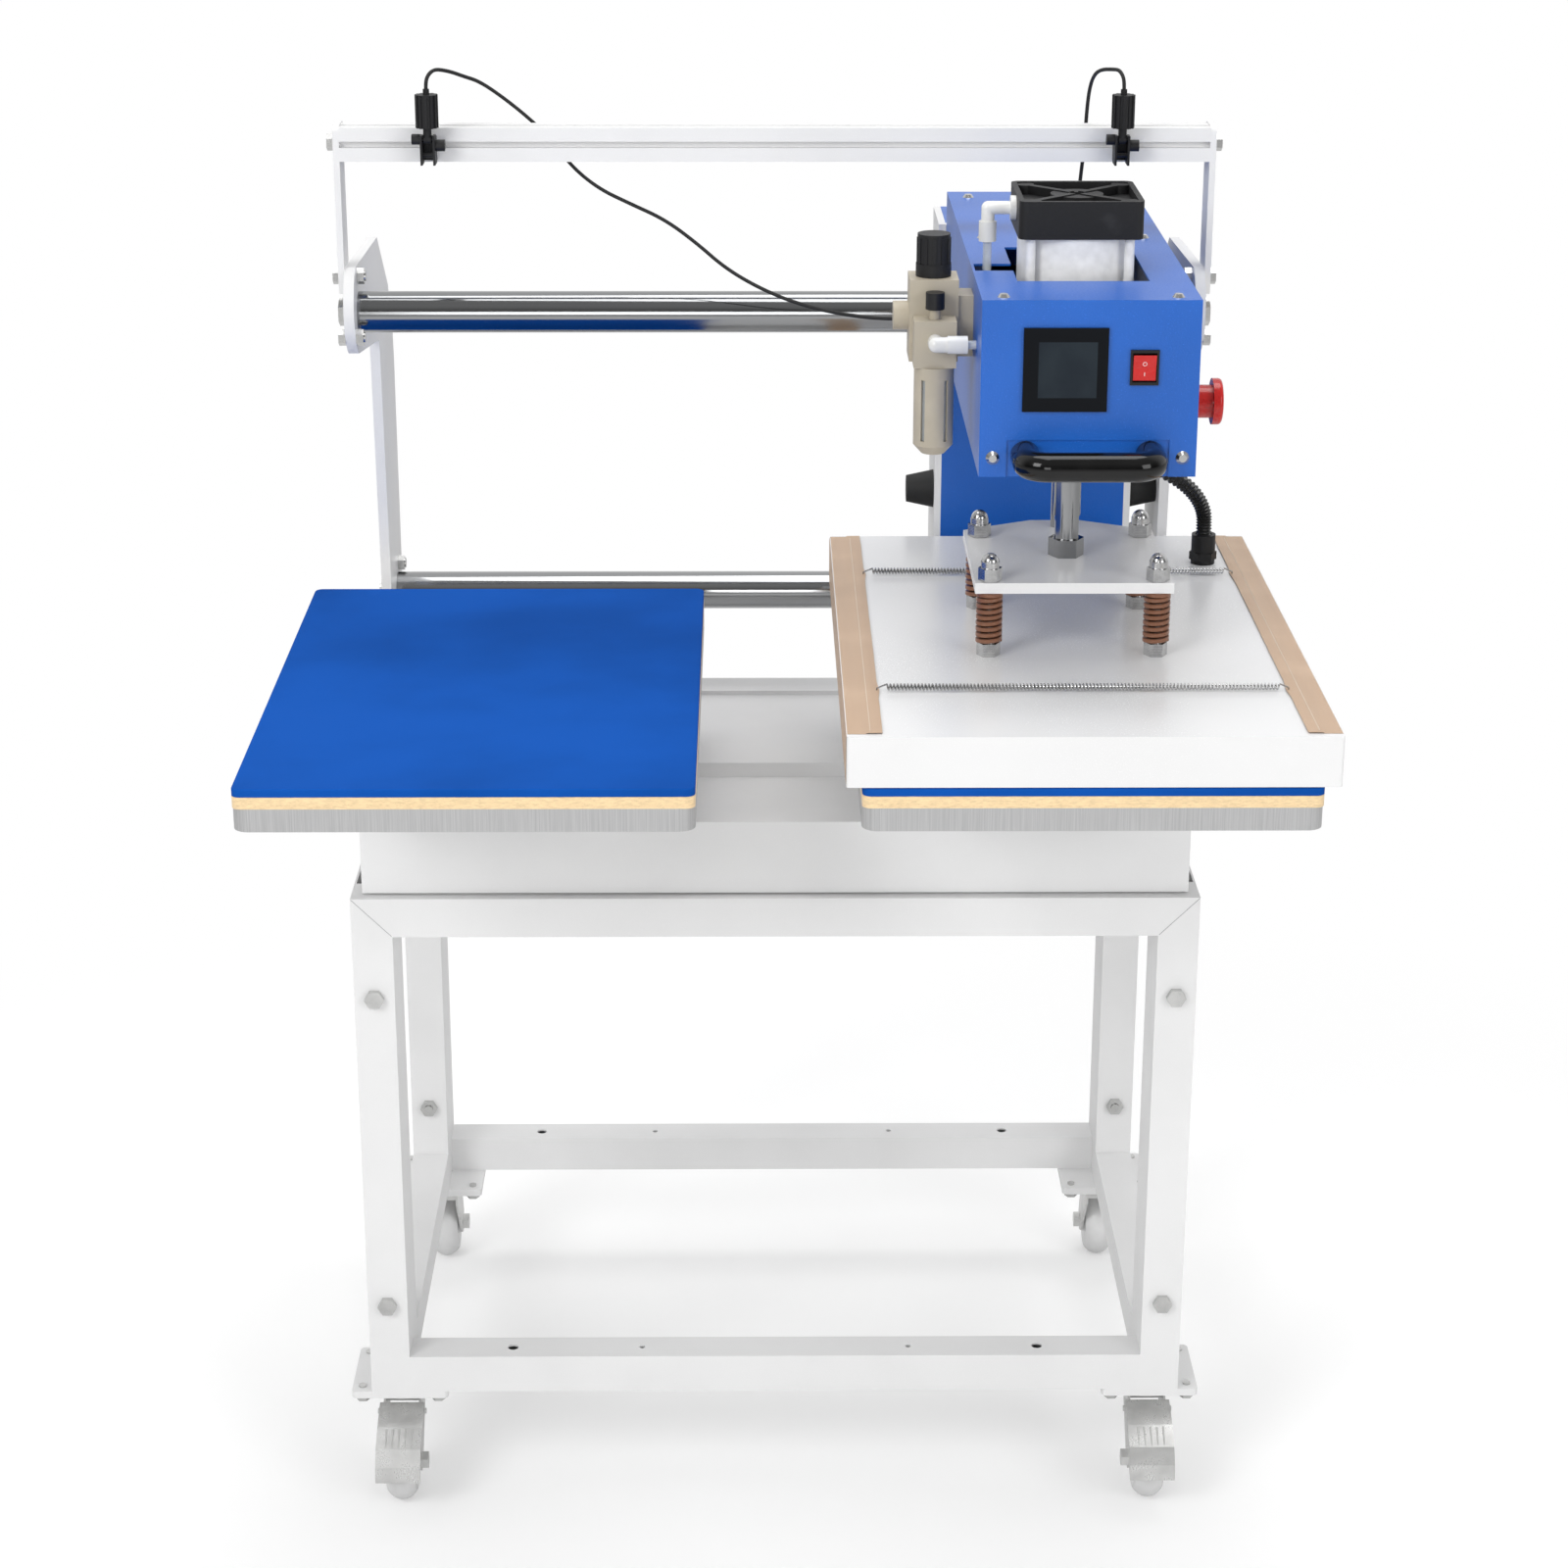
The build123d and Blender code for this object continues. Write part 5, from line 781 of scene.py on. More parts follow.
def shell(name: str, rings: Sequence[Sequence[Vector]], closed: bool = True,
          capped: bool = True) -> bpy.types.Object:
    """Makes a mesh from rings of points, such as a tube along a path.

    Args:
        name: The piece's name.
        rings: Rings with the same number of points.
        closed: Whether each ring closes on itself.
        capped: Whether the first and last rings are filled.

    Returns:
        The piece.
    """
    mesh = bmesh.new()
    rows = [[mesh.verts.new(point) for point in ring] for ring in rings]
    count = len(rows[0])
    for first, second in zip(rows, rows[1:]):
        for index in range(count if closed else count - 1):
            after = (index + 1) % count
            mesh.faces.new((first[index], first[after], second[after], second[index]))
    if capped and closed:
        mesh.faces.new(list(reversed(rows[0])))
        mesh.faces.new(rows[-1])
    bmesh.ops.recalc_face_normals(mesh, faces=mesh.faces)
    data = bpy.data.meshes.new(name)
    mesh.to_mesh(data)
    mesh.free()
    piece = bpy.data.objects.new(name, data)
    bpy.context.scene.collection.objects.link(piece)
    return piece


def smooth_line(points: Sequence[Place], steps: int) -> list[Vector]:
    """Reads evenly stepped points from the NURBS spline over some control points.

    Args:
        points: The control points.
        steps: The spline's steps between two control points.

    Returns:
        Points along the spline.
    """
    curve = bpy.data.curves.new("line", "CURVE")
    curve.dimensions = "3D"
    spline = curve.splines.new("NURBS")
    spline.points.add(len(points) - 1)
    for point, place in zip(spline.points, points):
        point.co = (*place, 1.0)
    spline.order_u = 3
    spline.use_endpoint_u = True
    spline.resolution_u = steps
    carrier = bpy.data.objects.new("line", curve)
    mesh = bpy.data.meshes.new_from_object(carrier)
    line = [vertex.co.copy() for vertex in mesh.vertices]
    bpy.data.objects.remove(carrier)
    bpy.data.curves.remove(curve)
    bpy.data.meshes.remove(mesh)
    return line


def tube_rings(line: Sequence[Vector], radius: Callable[[int], float], sides: int) -> list[list[Vector]]:
    """Carries a ring along a line without twist.

    Args:
        line: The centre line.
        radius: The ring's radius at each step of the line.
        sides: Points in each ring.

    Returns:
        The rings.
    """
    rings = []
    way = (line[1] - line[0]).normalized()
    side = way.orthogonal().normalized()
    for index, here in enumerate(line):
        ahead = line[min(index + 1, len(line) - 1)] - line[max(index - 1, 0)]
        step = way.rotation_difference(ahead.normalized())
        way = ahead.normalized()
        side = (step @ side).normalized()
        up = way.cross(side)
        rings.append([here + (side * math.cos(turn) + up * math.sin(turn)) * radius(index)
                      for turn in (2.0 * math.pi * part / sides for part in range(sides))])
    return rings


# Sub-assemblies

@dataclass
class Stand:
    """White tube stand with its plates, tray and bolts."""

    finishes: Finishes
    tube: float = 0.04
    seam: float = 0.00028
    painted: tuple[str, ...] = ("end_frames", "side_frames", "caster_plates", "base_tray",
                                "platen_supports", "side_plates", "laser_posts", "laser_bar")

    def build(self) -> None:
        """Dresses the stand."""
        for node in self.painted:
            dress(node, self.finishes.white_paint)
        self._seams()
        dress("stand_bolts", self.finishes.zinc)
        dress("side_bolts", self.finishes.zinc)
        dress("guide_shafts", self.finishes.chrome)

    def _seams(self) -> None:
        """Marks the mitred corners of the front and rear frames with fine dark joints."""
        low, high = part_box("end_frames")
        lines = []
        for side in (low.x, high.x):
            inward = self.tube if side == low.x else -self.tube
            for y in (low.y, high.y):
                ends = [Vector((side + inward * part, y, high.z - self.tube * part)) for part in (0.02, 0.98)]
                lines.append(shell("seam", tube_rings(ends, lambda step: self.seam, 8)))
        piece = Bench.join("mitre_seams", lines)
        Bench.give(piece, self.finishes.seam, "white_paint")
        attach(piece, Body.STAND.value)


@dataclass
class Casters:
    """Four swivel casters, the front two with brake pedals."""

    finishes: Finishes
    ribs: int = 5
    rib_pitch: float = 0.0065
    rib_radius: float = 0.0011
    rib_back: float = 0.034
    rib_front: float = 0.0165
    rib_top: float = 0.0125
    rib_foot: float = 0.0235
    corners: tuple[str, ...] = ("front_left", "front_right", "rear_left", "rear_right")

    def build(self) -> None:
        """Dresses the casters."""
        for corner in self.corners:
            dress("caster_fork_" + corner, self.finishes.fork_zinc)
            dress("caster_wheel_" + corner, self.finishes.wheel)
            if corner.startswith("front"):
                dress("brake_pedal_" + corner, self.finishes.dull_zinc)
                self._ribs(corner)

    def _ribs(self, corner: str) -> None:
        """Presses ribs down the slope of one brake pedal.

        Args:
            corner: The caster's corner.
        """
        low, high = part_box("brake_pedal_" + corner)
        middle = (low.x + high.x) / 2
        slope = [Vector((0.0, low.y + self.rib_back, high.z - self.rib_top)),
                 Vector((0.0, low.y + self.rib_front, high.z - self.rib_foot))]
        ribs = []
        for index in range(self.ribs):
            x = middle + (index - (self.ribs - 1) / 2) * self.rib_pitch
            line = [slope[0].lerp(slope[1], part) + Vector((x, 0.0, 0.0)) for part in (0.0, 0.5, 1.0)]
            ribs.append(shell("rib", tube_rings(line, lambda step: self.rib_radius, 10)))
        piece = Bench.join("pedal_ribs_" + corner, ribs)
        Bench.smooth(piece, 1.0)
        Bench.give(piece, self.finishes.dull_zinc, "zinc_steel")
        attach(piece, "pedal_" + corner)


@dataclass
class Platens:
    """Two milled boards, each under a felt sheet and a blue silicone pad."""

    finishes: Finishes
    corner: float = 0.008
    edge: float = 0.0012
    dip: float = -0.0002

    def build(self) -> None:
        """Dresses the boards and makes the soft layers."""
        dress("platen_boards", self.finishes.board)
        self._layers("platen_sponges", "felt_sheet", self.finishes.felt, "cream_felt")
        self._layers("silicone_pads", "silicone_pad", self.finishes.pad, "blue_silicone")

    def _layers(self, node: str, name: str, material: bpy.types.Material, slot: str) -> None:
        """Makes one soft layer for both stations.

        Args:
            node: The CAD node that holds the two plain slabs.
            name: The new pieces' name.
            material: Their material.
            slot: Not used.
        """
        low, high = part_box(node)
        span = high.x - low.x
        each = PLATEN_WIDTH
        for side, left in (("left", low.x), ("right", low.x + span - each)):
            piece = Bench.block(f"{name}_{side}", Vector((left, low.y, low.z)),
                                Vector((left + each, high.y, high.z)))
            Bench.bevel(piece, lambda edge: abs(edge.verts[0].co.z - edge.verts[1].co.z) > 0.001,
                        self.corner, 5)
            Bench.bevel(piece, lambda edge: min(v.co.z for v in edge.verts) > high.z - TOUCHING,
                        self.edge, 3)
            self._worn(piece, high.z)
            Bench.smooth(piece)
            Bench.give(piece, material, slot)
            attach(piece, Body.STAND.value)
            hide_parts(node)

    def _worn(self, piece: bpy.types.Object, top: float) -> None:
        """Insets the top face and lets its middle dip a little.

        Args:
            piece: The layer.
            top: The height of its top.
        """
        Bench.choose(piece, Pick.FACES, lambda face: face.normal.z > 0.99
                     and face.calc_center_median().z > top - TOUCHING)
        bpy.ops.mesh.inset(thickness=self.corner / 2)
        bpy.ops.transform.translate(value=(0.0, 0.0, self.dip))
        bpy.ops.object.mode_set(mode="OBJECT")


@dataclass
class LaserRig:
    """Two finned line lasers on the bar, with their cables."""

    finishes: Finishes
    radius: float = 0.0018
    left_route: tuple[Place, ...] = ()
    right_route: tuple[Place, ...] = ()

    def build(self) -> None:
        """Dresses the lasers and lays the cables."""
        for node in ("laser_module_left", "laser_module_right"):
            dress(node, self.finishes.cast_black)
        dress("laser_brackets", self.finishes.black)
        self._cable("laser_lead_left", "laser_cable_left", self.left_route)
        self._cable("laser_lead_right", "laser_cable_right", self.right_route)

    def _cable(self, name: str, node: str, route: Sequence[Place]) -> None:
        """Lays one cable along its route, from the stand's bar to the head.

        Args:
            name: The piece's name.
            node: The CAD node that it stands for.
            route: The control points.
        """
        line = smooth_line(route, 8)
        piece = shell(name, tube_rings(line, lambda index: self.radius, 10))
        Bench.smooth(piece, 1.2)
        Bench.give(piece, self.finishes.black_rubber, "black_rubber")
        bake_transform(piece)
        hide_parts(node)
        2 * self.radius


@dataclass
class Head:
    """Blue casing with the grip, display, switch and stop button."""

    finishes: Finishes
    screen_shift: float = 0.002
    screen_half_width: float = 0.0256
    screen_half_height: float = 0.0247
    mark_line: float = 0.0003
    upper_lean: float = 0.255
    ring_radius: float = 0.0017
    ring_depth: float = 0.0022
    ring_rise: float = 0.0034
    bar_front: float = 0.0032
    bar_back: float = 0.0037
    bar_foot: float = 0.0075
    bar_head: float = 0.0041

    def build(self) -> None:
        """Dresses the head and adds the switch's marks."""
        for node in ("head_casing", "carriage_cover"):
            dress(node, self.finishes.blue_paint)
        for node in ("head_frame", "carriage_plates"):
            dress(node, self.finishes.white_paint)
        dress("pressure_plate", self.finishes.gloss_white)
        dress("grip", self.finishes.gloss_black)
        dress("casing_screws", self.finishes.zinc)
        dress("bumpers", self.finishes.black_rubber)
        dress("control_box", self.finishes.black)
        dress("bearing_housings", self.finishes.cast_aluminium)
        dress("rocker_bezel", self.finishes.black)
        dress("rocker_button", self.finishes.red)
        dress("estop_base", self.finishes.black)
        dress("estop_button", self.finishes.red)
        low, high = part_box("display")
        middle = (low + high) / 2
        glass = ScreenGlass((middle.x + self.screen_shift, 0.0, middle.z), self.screen_half_width,
                            self.screen_half_height)
        dress("display", glass.make("display_glass"))
        self._marks()

    def _marks(self) -> None:
        """Prints the switch's ring and bar on the two faces of its rocker."""
        low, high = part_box("rocker_button")
        middle = (low + high) / 2
        Bench.clear()
        bpy.ops.mesh.primitive_torus_add(
            major_radius=self.ring_radius, minor_radius=self.mark_line, major_segments=28,
            minor_segments=6, location=(middle.x, low.y + self.ring_depth, middle.z + self.ring_rise),
            rotation=(math.pi / 2 + self.upper_lean, 0.0, 0.0))
        ring = Bench.settle(bpy.context.active_object)
        foot = Vector((middle.x - self.mark_line, low.y + self.bar_front, middle.z - self.bar_foot))
        head = Vector((middle.x + self.mark_line, low.y + self.bar_back, middle.z - self.bar_head))
        bar = Bench.block("bar", foot, head)
        Bench.bevel(bar, lambda edge: True, self.mark_line / 3, 2)
        piece = Bench.join("rocker_marks", [ring, bar])
        Bench.smooth(piece)
        Bench.give(piece, self.finishes.mark_white, "white_plastic")
        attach(piece, Body.ROCKER.value)


@dataclass
class Cylinder:
    """Air cylinder on top of the head, with its caps and tie rods."""

    finishes: Finishes

    def build(self) -> None:
        """Dresses the cylinder."""
        dress("cylinder_barrel", self.finishes.barrel)
        dress("cylinder_caps", self.finishes.cast_black)
        dress("air_fittings", self.finishes.white_plastic)
        dress("air_tubes", self.finishes.clear)


@dataclass
class AirUnit:
    """Filter-regulator on the side of the casing."""

    finishes: Finishes
    guard: float = 0.0024
    bowl_floor: float = 0.0105
    bowl_drop: float = 0.0045
    bowl_round: float = 0.004

    def build(self) -> None:
        """Dresses the unit."""
        dress("regulator_body", self.finishes.lock_body)
        dress("regulator_bowl", self.finishes.beige)
        dress("regulator_knob", self.finishes.black)
        self._bowl()

    def _bowl(self) -> None:
        """Puts the clear bowl inside its slotted guard."""
        low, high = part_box("regulator_bowl")
        middle = (low + high) / 2
        height = high.z - low.z - self.bowl_floor - self.bowl_drop
        piece = Bench.disc("clear_bowl", Vector((middle.x, middle.y, low.z + self.bowl_floor + height / 2)),
                           (high.x - low.x) / 2 - self.guard, height, (0.0, 0.0, 0.0))
        Bench.bevel(piece, lambda edge: max(v.co.z for v in edge.verts) < low.z + self.bowl_floor + TOUCHING,
                    self.bowl_round, 4)
        Bench.smooth(piece)
        Bench.give(piece, self.finishes.clear, "clear_tube")
        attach(piece, Body.HEAD.value)


@dataclass
class PressUnit:
    """Rod, pressure plate and the four brown die springs."""

    finishes: Finishes
    turns: int = 9
    wire_width: float = 0.0046
    wire_height: float = 0.0036
    wire_bevel: float = 0.0005
    travel: float = 0.0042
    steps: int = 36

    def build(self) -> None:
        """Dresses the press unit and winds its springs."""
        dress("press_rods", self.finishes.rod_chrome)
        self._springs()

    def _springs(self) -> None:
        """Winds four springs of flat wire."""
        low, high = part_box("die_springs")
        radius = SPRING_RADIUS
        places = [(x, y) for x in (low.x + radius, high.x - radius)
                  for y in (low.y + radius, high.y - radius)]
        coils = [self._coil(f"die_spring_{index}", Vector((x, y, low.z)), radius, high.z - low.z)
                 for index, (x, y) in enumerate(places)]
        piece = Bench.join("die_spring_coils", coils)
        Bench.smooth(piece, 0.7)
        Bench.give(piece, self.finishes.spring, "spring_brown")
        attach(piece, Body.PRESS.value)
        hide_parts("die_springs")
        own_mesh(piece)

    def _coil(self, name: str, foot: Vector, radius: float, height: float) -> bpy.types.Object:
        """Winds one spring of rectangular wire.

        Args:
            name: The piece's name.
            foot: The middle of its lower end.
            radius: Its outer radius.
            height: Its height.

        Returns:
            The piece.
        """
        rise = height - self.wire_height
        inner = radius - self.wire_width
        bevel = self.wire_bevel
        section = [(inner, -1), (inner + bevel, -1.0), (radius - bevel, -1.0), (radius, -0.7),
                   (radius, 0.7), (radius - bevel, 1.0), (inner + bevel, 1.0), (inner, 0.7)]
        rings = []
        total = self.turns * self.steps
        for step in range(total + 1):
            turn = 2.0 * math.pi * step / self.steps
            share = step / total
            eased = min(1.0, max(0.0, (share * (self.turns + 1.0) - 0.5) / self.turns))
            z = foot.z + self.wire_height / 2 + rise * eased
            rings.append([Vector((foot.x + r * math.cos(turn), foot.y + r * math.sin(turn),
                                  z + up * self.wire_height / 2)) for r, up in section])
        return shell(name, rings)


@dataclass
class Heater:
    """Heated plate under its white cover, wrapped in coated cloth that two springs pull tight."""

    finishes: Finishes
    cloth_thickness: float = 0.0005
    hem: float = 0.031
    fold: float = 0.0011
    spring_radius: float = 0.0034
    spring_wire: float = 0.0008
    spring_turns: int = 112
    spring_steps: int = 12
    hook_end: float = 0.009
    hook_knee: float = 0.0085
    hook_start: float = 0.006
    hook_drop: float = 0.001
    pull_depth: float = 0.0016
    pull_spread: float = 0.014
    ripple: float = 0.0005
    ripple_grain: float = 25.0
    corner_bend: float = 0.0022
    cloth_rows: int = 90
    stitch_pitch: float = 0.0056
    stitch_length: float = 0.0036
    stitch_radius: float = 0.00028
    conduit_ribs: int = 46
    conduit_groove: float = 0.0019
    conduit_bend: tuple[Place, ...] = (
        (0.0, 0.0, 0.014), (-0.001, 0.0, 0.034), (-0.018, -0.003, 0.058), (-0.057, -0.012, 0.082),
        (-0.084, -0.022, 0.108))
    conduit_drop: Place = (0.002, 0.0, -0.046)
    conduit_neck: Place = (0.0, 0.0, 0.02)

    def build(self) -> None:
        """Dresses the heater and makes its cloth, springs and conduit."""
        dress("heater_cover", self.finishes.gloss_white)
        dress("heating_plate", self.finishes.cast_aluminium)
        dress("heater_studs", self.finishes.threaded)
        dress("conduit_gland", self.finishes.black)
        self._cloth()
        self._tension_springs()
        self._conduit()

    def _profile(self, pull: float) -> list[tuple[float, float]]:
        """The cloth's line across the heater, from hem to hem.

        Args:
            pull: How far the hem's edge is drawn inwards here.

        Returns:
            X and Z of each point.
        """
        low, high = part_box("heater_cover")
        out = self.cloth_thickness * 0.6
        middle = (low.x + high.x) / 2
        half = (high.x - low.x) / 2
        top = high.z + out
        bend = self.corner_bend
        right = [(half - self.hem - pull, top + self.fold), (half - self.hem - pull + 0.004, top + self.fold),
                 (half - self.hem + 0.013, top + self.fold * 0.9), (half - self.hem + 0.0145, top),
                 (half - bend * 3, top)]
        for step in range(5):
            turn = math.pi / 2 * step / 4
            right.append((half + out - bend + bend * math.sin(turn), top - bend + bend * math.cos(turn)))
        right += [(half + out, (low.z + high.z) / 2), (half + out, low.z + bend)]
        for step in range(1, 4):
            turn = math.pi / 2 * step / 3
            right.append((half + out - bend + bend * math.cos(turn),
                          low.z - out * 0.5 + bend - bend * math.sin(turn)))
        right += [(half * part, low.z - out * 0.5) for part in (0.8, 0.5, 0.25)]
        left = [(-x, z) for x, z in reversed(right)]
        return [(middle + x, z) for x, z in right + [(0.0, low.z - out * 0.5)] + left]

    def _cloth(self) -> None:
        """Makes the wrapped cloth with its hems, from front to back."""
        low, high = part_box("cloth_cover")
        rings = []
        for row in range(self.cloth_rows + 1):
            share = row / self.cloth_rows
            y = low.y + (high.y - low.y) * share
            pull = sum(self.pull_depth * math.exp(-((y - spot) / self.pull_spread) ** 2)
                       for spot in self._spring_rows())
            pull += self.ripple * noise.noise(Vector((y * self.ripple_grain, 0.0, 3.0)))
            rings.append([Vector((x, y, z)) for x, z in self._profile(pull)])
        piece = shell("glass_cloth_wrap", rings, closed=False, capped=False)
        self._unwrap(piece, rings)
        Bench.hold(piece)
        solid = piece.modifiers.new("thickness", "SOLIDIFY")
        solid.thickness = self.cloth_thickness * 0.5
        solid.offset = 0.0
        bpy.ops.object.modifier_apply(modifier=solid.name)
        Bench.smooth(piece, 0.9)
        Bench.give(piece, self.finishes.cloth, "brown_cloth")
        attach(piece, Body.HEATER.value)
        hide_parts("cloth_cover")
        stitches = self._stitches()

    @staticmethod
    def _unwrap(piece: bpy.types.Object, rings: Sequence[Sequence[Vector]]) -> None:
        """Gives the cloth a UV map in metres along and across its weave.

        Args:
            piece: The cloth.
            rings: Its rows of points.
        """
        across = [0.0]
        for before, here in zip(rings[0], rings[0][1:]):
            across.append(across[-1] + (here - before).length)
        count = len(rings[0])
        layer = piece.data.uv_layers.new(name="weave")
        for loop in piece.data.loops:
            row, column = divmod(loop.vertex_index, count)
            layer.data[loop.index].uv = (across[column], rings[row][0].y)

    @staticmethod
    def _spring_rows() -> list[float]:
        """Y of the two tension springs."""
        low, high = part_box("tension_springs")
        return [low.y + 0.0035, high.y - 0.0035]

    def _stitches(self) -> bpy.types.Object:
        """Sews a row of short stitches along each hem."""
        low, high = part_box("heater_cover")
        cloth_low, cloth_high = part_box("cloth_cover")
        z = high.z + self.cloth_thickness * 0.6 + self.fold + self.cloth_thickness * 0.35
        pitch, length, radius = self.stitch_pitch, self.stitch_length, self.stitch_radius
        count = int((cloth_high.y - cloth_low.y - 0.01) / pitch)
        rows = []
        for side in (-1, 1):
            x = (low.x + high.x) / 2 + side * ((high.x - low.x) / 2 - self.hem + 0.0105)
            for index in range(count):
                y = cloth_low.y + 0.006 + pitch * index
                line = [Vector((x, y, z - radius)), Vector((x, y + length * 0.2, z)),
                        Vector((x, y + length * 0.8, z)), Vector((x, y + length, z - radius))]
                rows.append(tube_rings(line, lambda step: radius, 5))
        pieces = [shell(f"stitch_{index}", rings) for index, rings in enumerate(rows)]
        piece = Bench.join("hem_stitches", pieces)
        Bench.give(piece, self.finishes.thread_white, "brown_cloth")
        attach(piece, Body.HEATER.value)
        return piece

    def _tension_springs(self) -> None:
        """Winds the two long springs over the heater, with a hook at each end."""
        low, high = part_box("tension_springs")
        z = high.z - self.spring_radius
        mean = self.spring_radius - self.spring_wire
        reach = (high.x - low.x) / 2 - self.hook_end
        middle = (low.x + high.x) / 2
        cloth_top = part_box("cloth_cover")[1].z
        coils = []
        steps = self.spring_steps
        for index, y in enumerate(self._spring_rows()):
            hook = [(self.hook_end, cloth_top + self.cloth_thickness), (self.hook_knee, z - self.hook_drop),
                    (self.hook_start, z)]
            line = [Vector((middle - reach - out, y, level)) for out, level in hook]
            total = self.spring_turns * steps
            for step in range(total + 1):
                turn = 2.0 * math.pi * step / steps
                x = middle - reach + 2 * reach * step / total
                line.append(Vector((x, y + mean * math.sin(turn), z + mean * math.cos(turn))))
            line += [Vector((middle + reach + out, y, level)) for out, level in reversed(hook)]
            coils.append(shell(f"pull_spring_{index}", tube_rings(line, lambda step: self.spring_wire, 5)))
        piece = Bench.join("pull_springs", coils)
        Bench.smooth(piece, 1.0)
        Bench.give(piece, self.finishes.bright_wire, "bright_spring")
        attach(piece, Body.HEATER.value)
        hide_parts("tension_springs")

    def _conduit(self) -> None:
        """Bends the ribbed conduit from its gland up into the head."""
        low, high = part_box("conduit")
        radius = CONDUIT_RADIUS
        foot = Vector((high.x - radius, high.y - radius, low.z))
        crown = Vector((low.x + radius, low.y + radius, high.z))
        route = [foot, *(foot + Vector(offset) for offset in self.conduit_bend),
                 crown + Vector(self.conduit_drop), crown - Vector(self.conduit_neck), crown]
        line = smooth_line([tuple(point) for point in route], 4 * self.conduit_ribs // 7)

        def rib(step: int) -> float:
            """The radius at one step: a crest or a root."""
            return radius - self.conduit_groove * (0.5 + 0.5 * math.cos(math.pi * step / 2))

        piece = shell("ribbed_conduit", tube_rings(line, rib, 24))
        Bench.smooth(piece, 0.9)
        Bench.give(piece, self.finishes.ribbed_black, "black_plastic")
        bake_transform(piece)
        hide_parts("conduit")


@dataclass(frozen=True)
class Lamp:
    """One soft square lamp."""

    name: str
    place: Place
    target: Place
    size: float
    power: float

    def hang(self) -> None:
        """Hangs the lamp and points it at its target."""
        data = bpy.data.lights.new(self.name, "AREA")
        data.size = self.size
        data.energy = self.power
        lamp = bpy.data.objects.new(self.name, data)
        lamp.location = self.place
        way = Vector(self.target) - Vector(self.place)
        lamp.rotation_euler = way.to_track_quat("-Z", "Y").to_euler()
        bpy.context.scene.collection.objects.link(lamp)


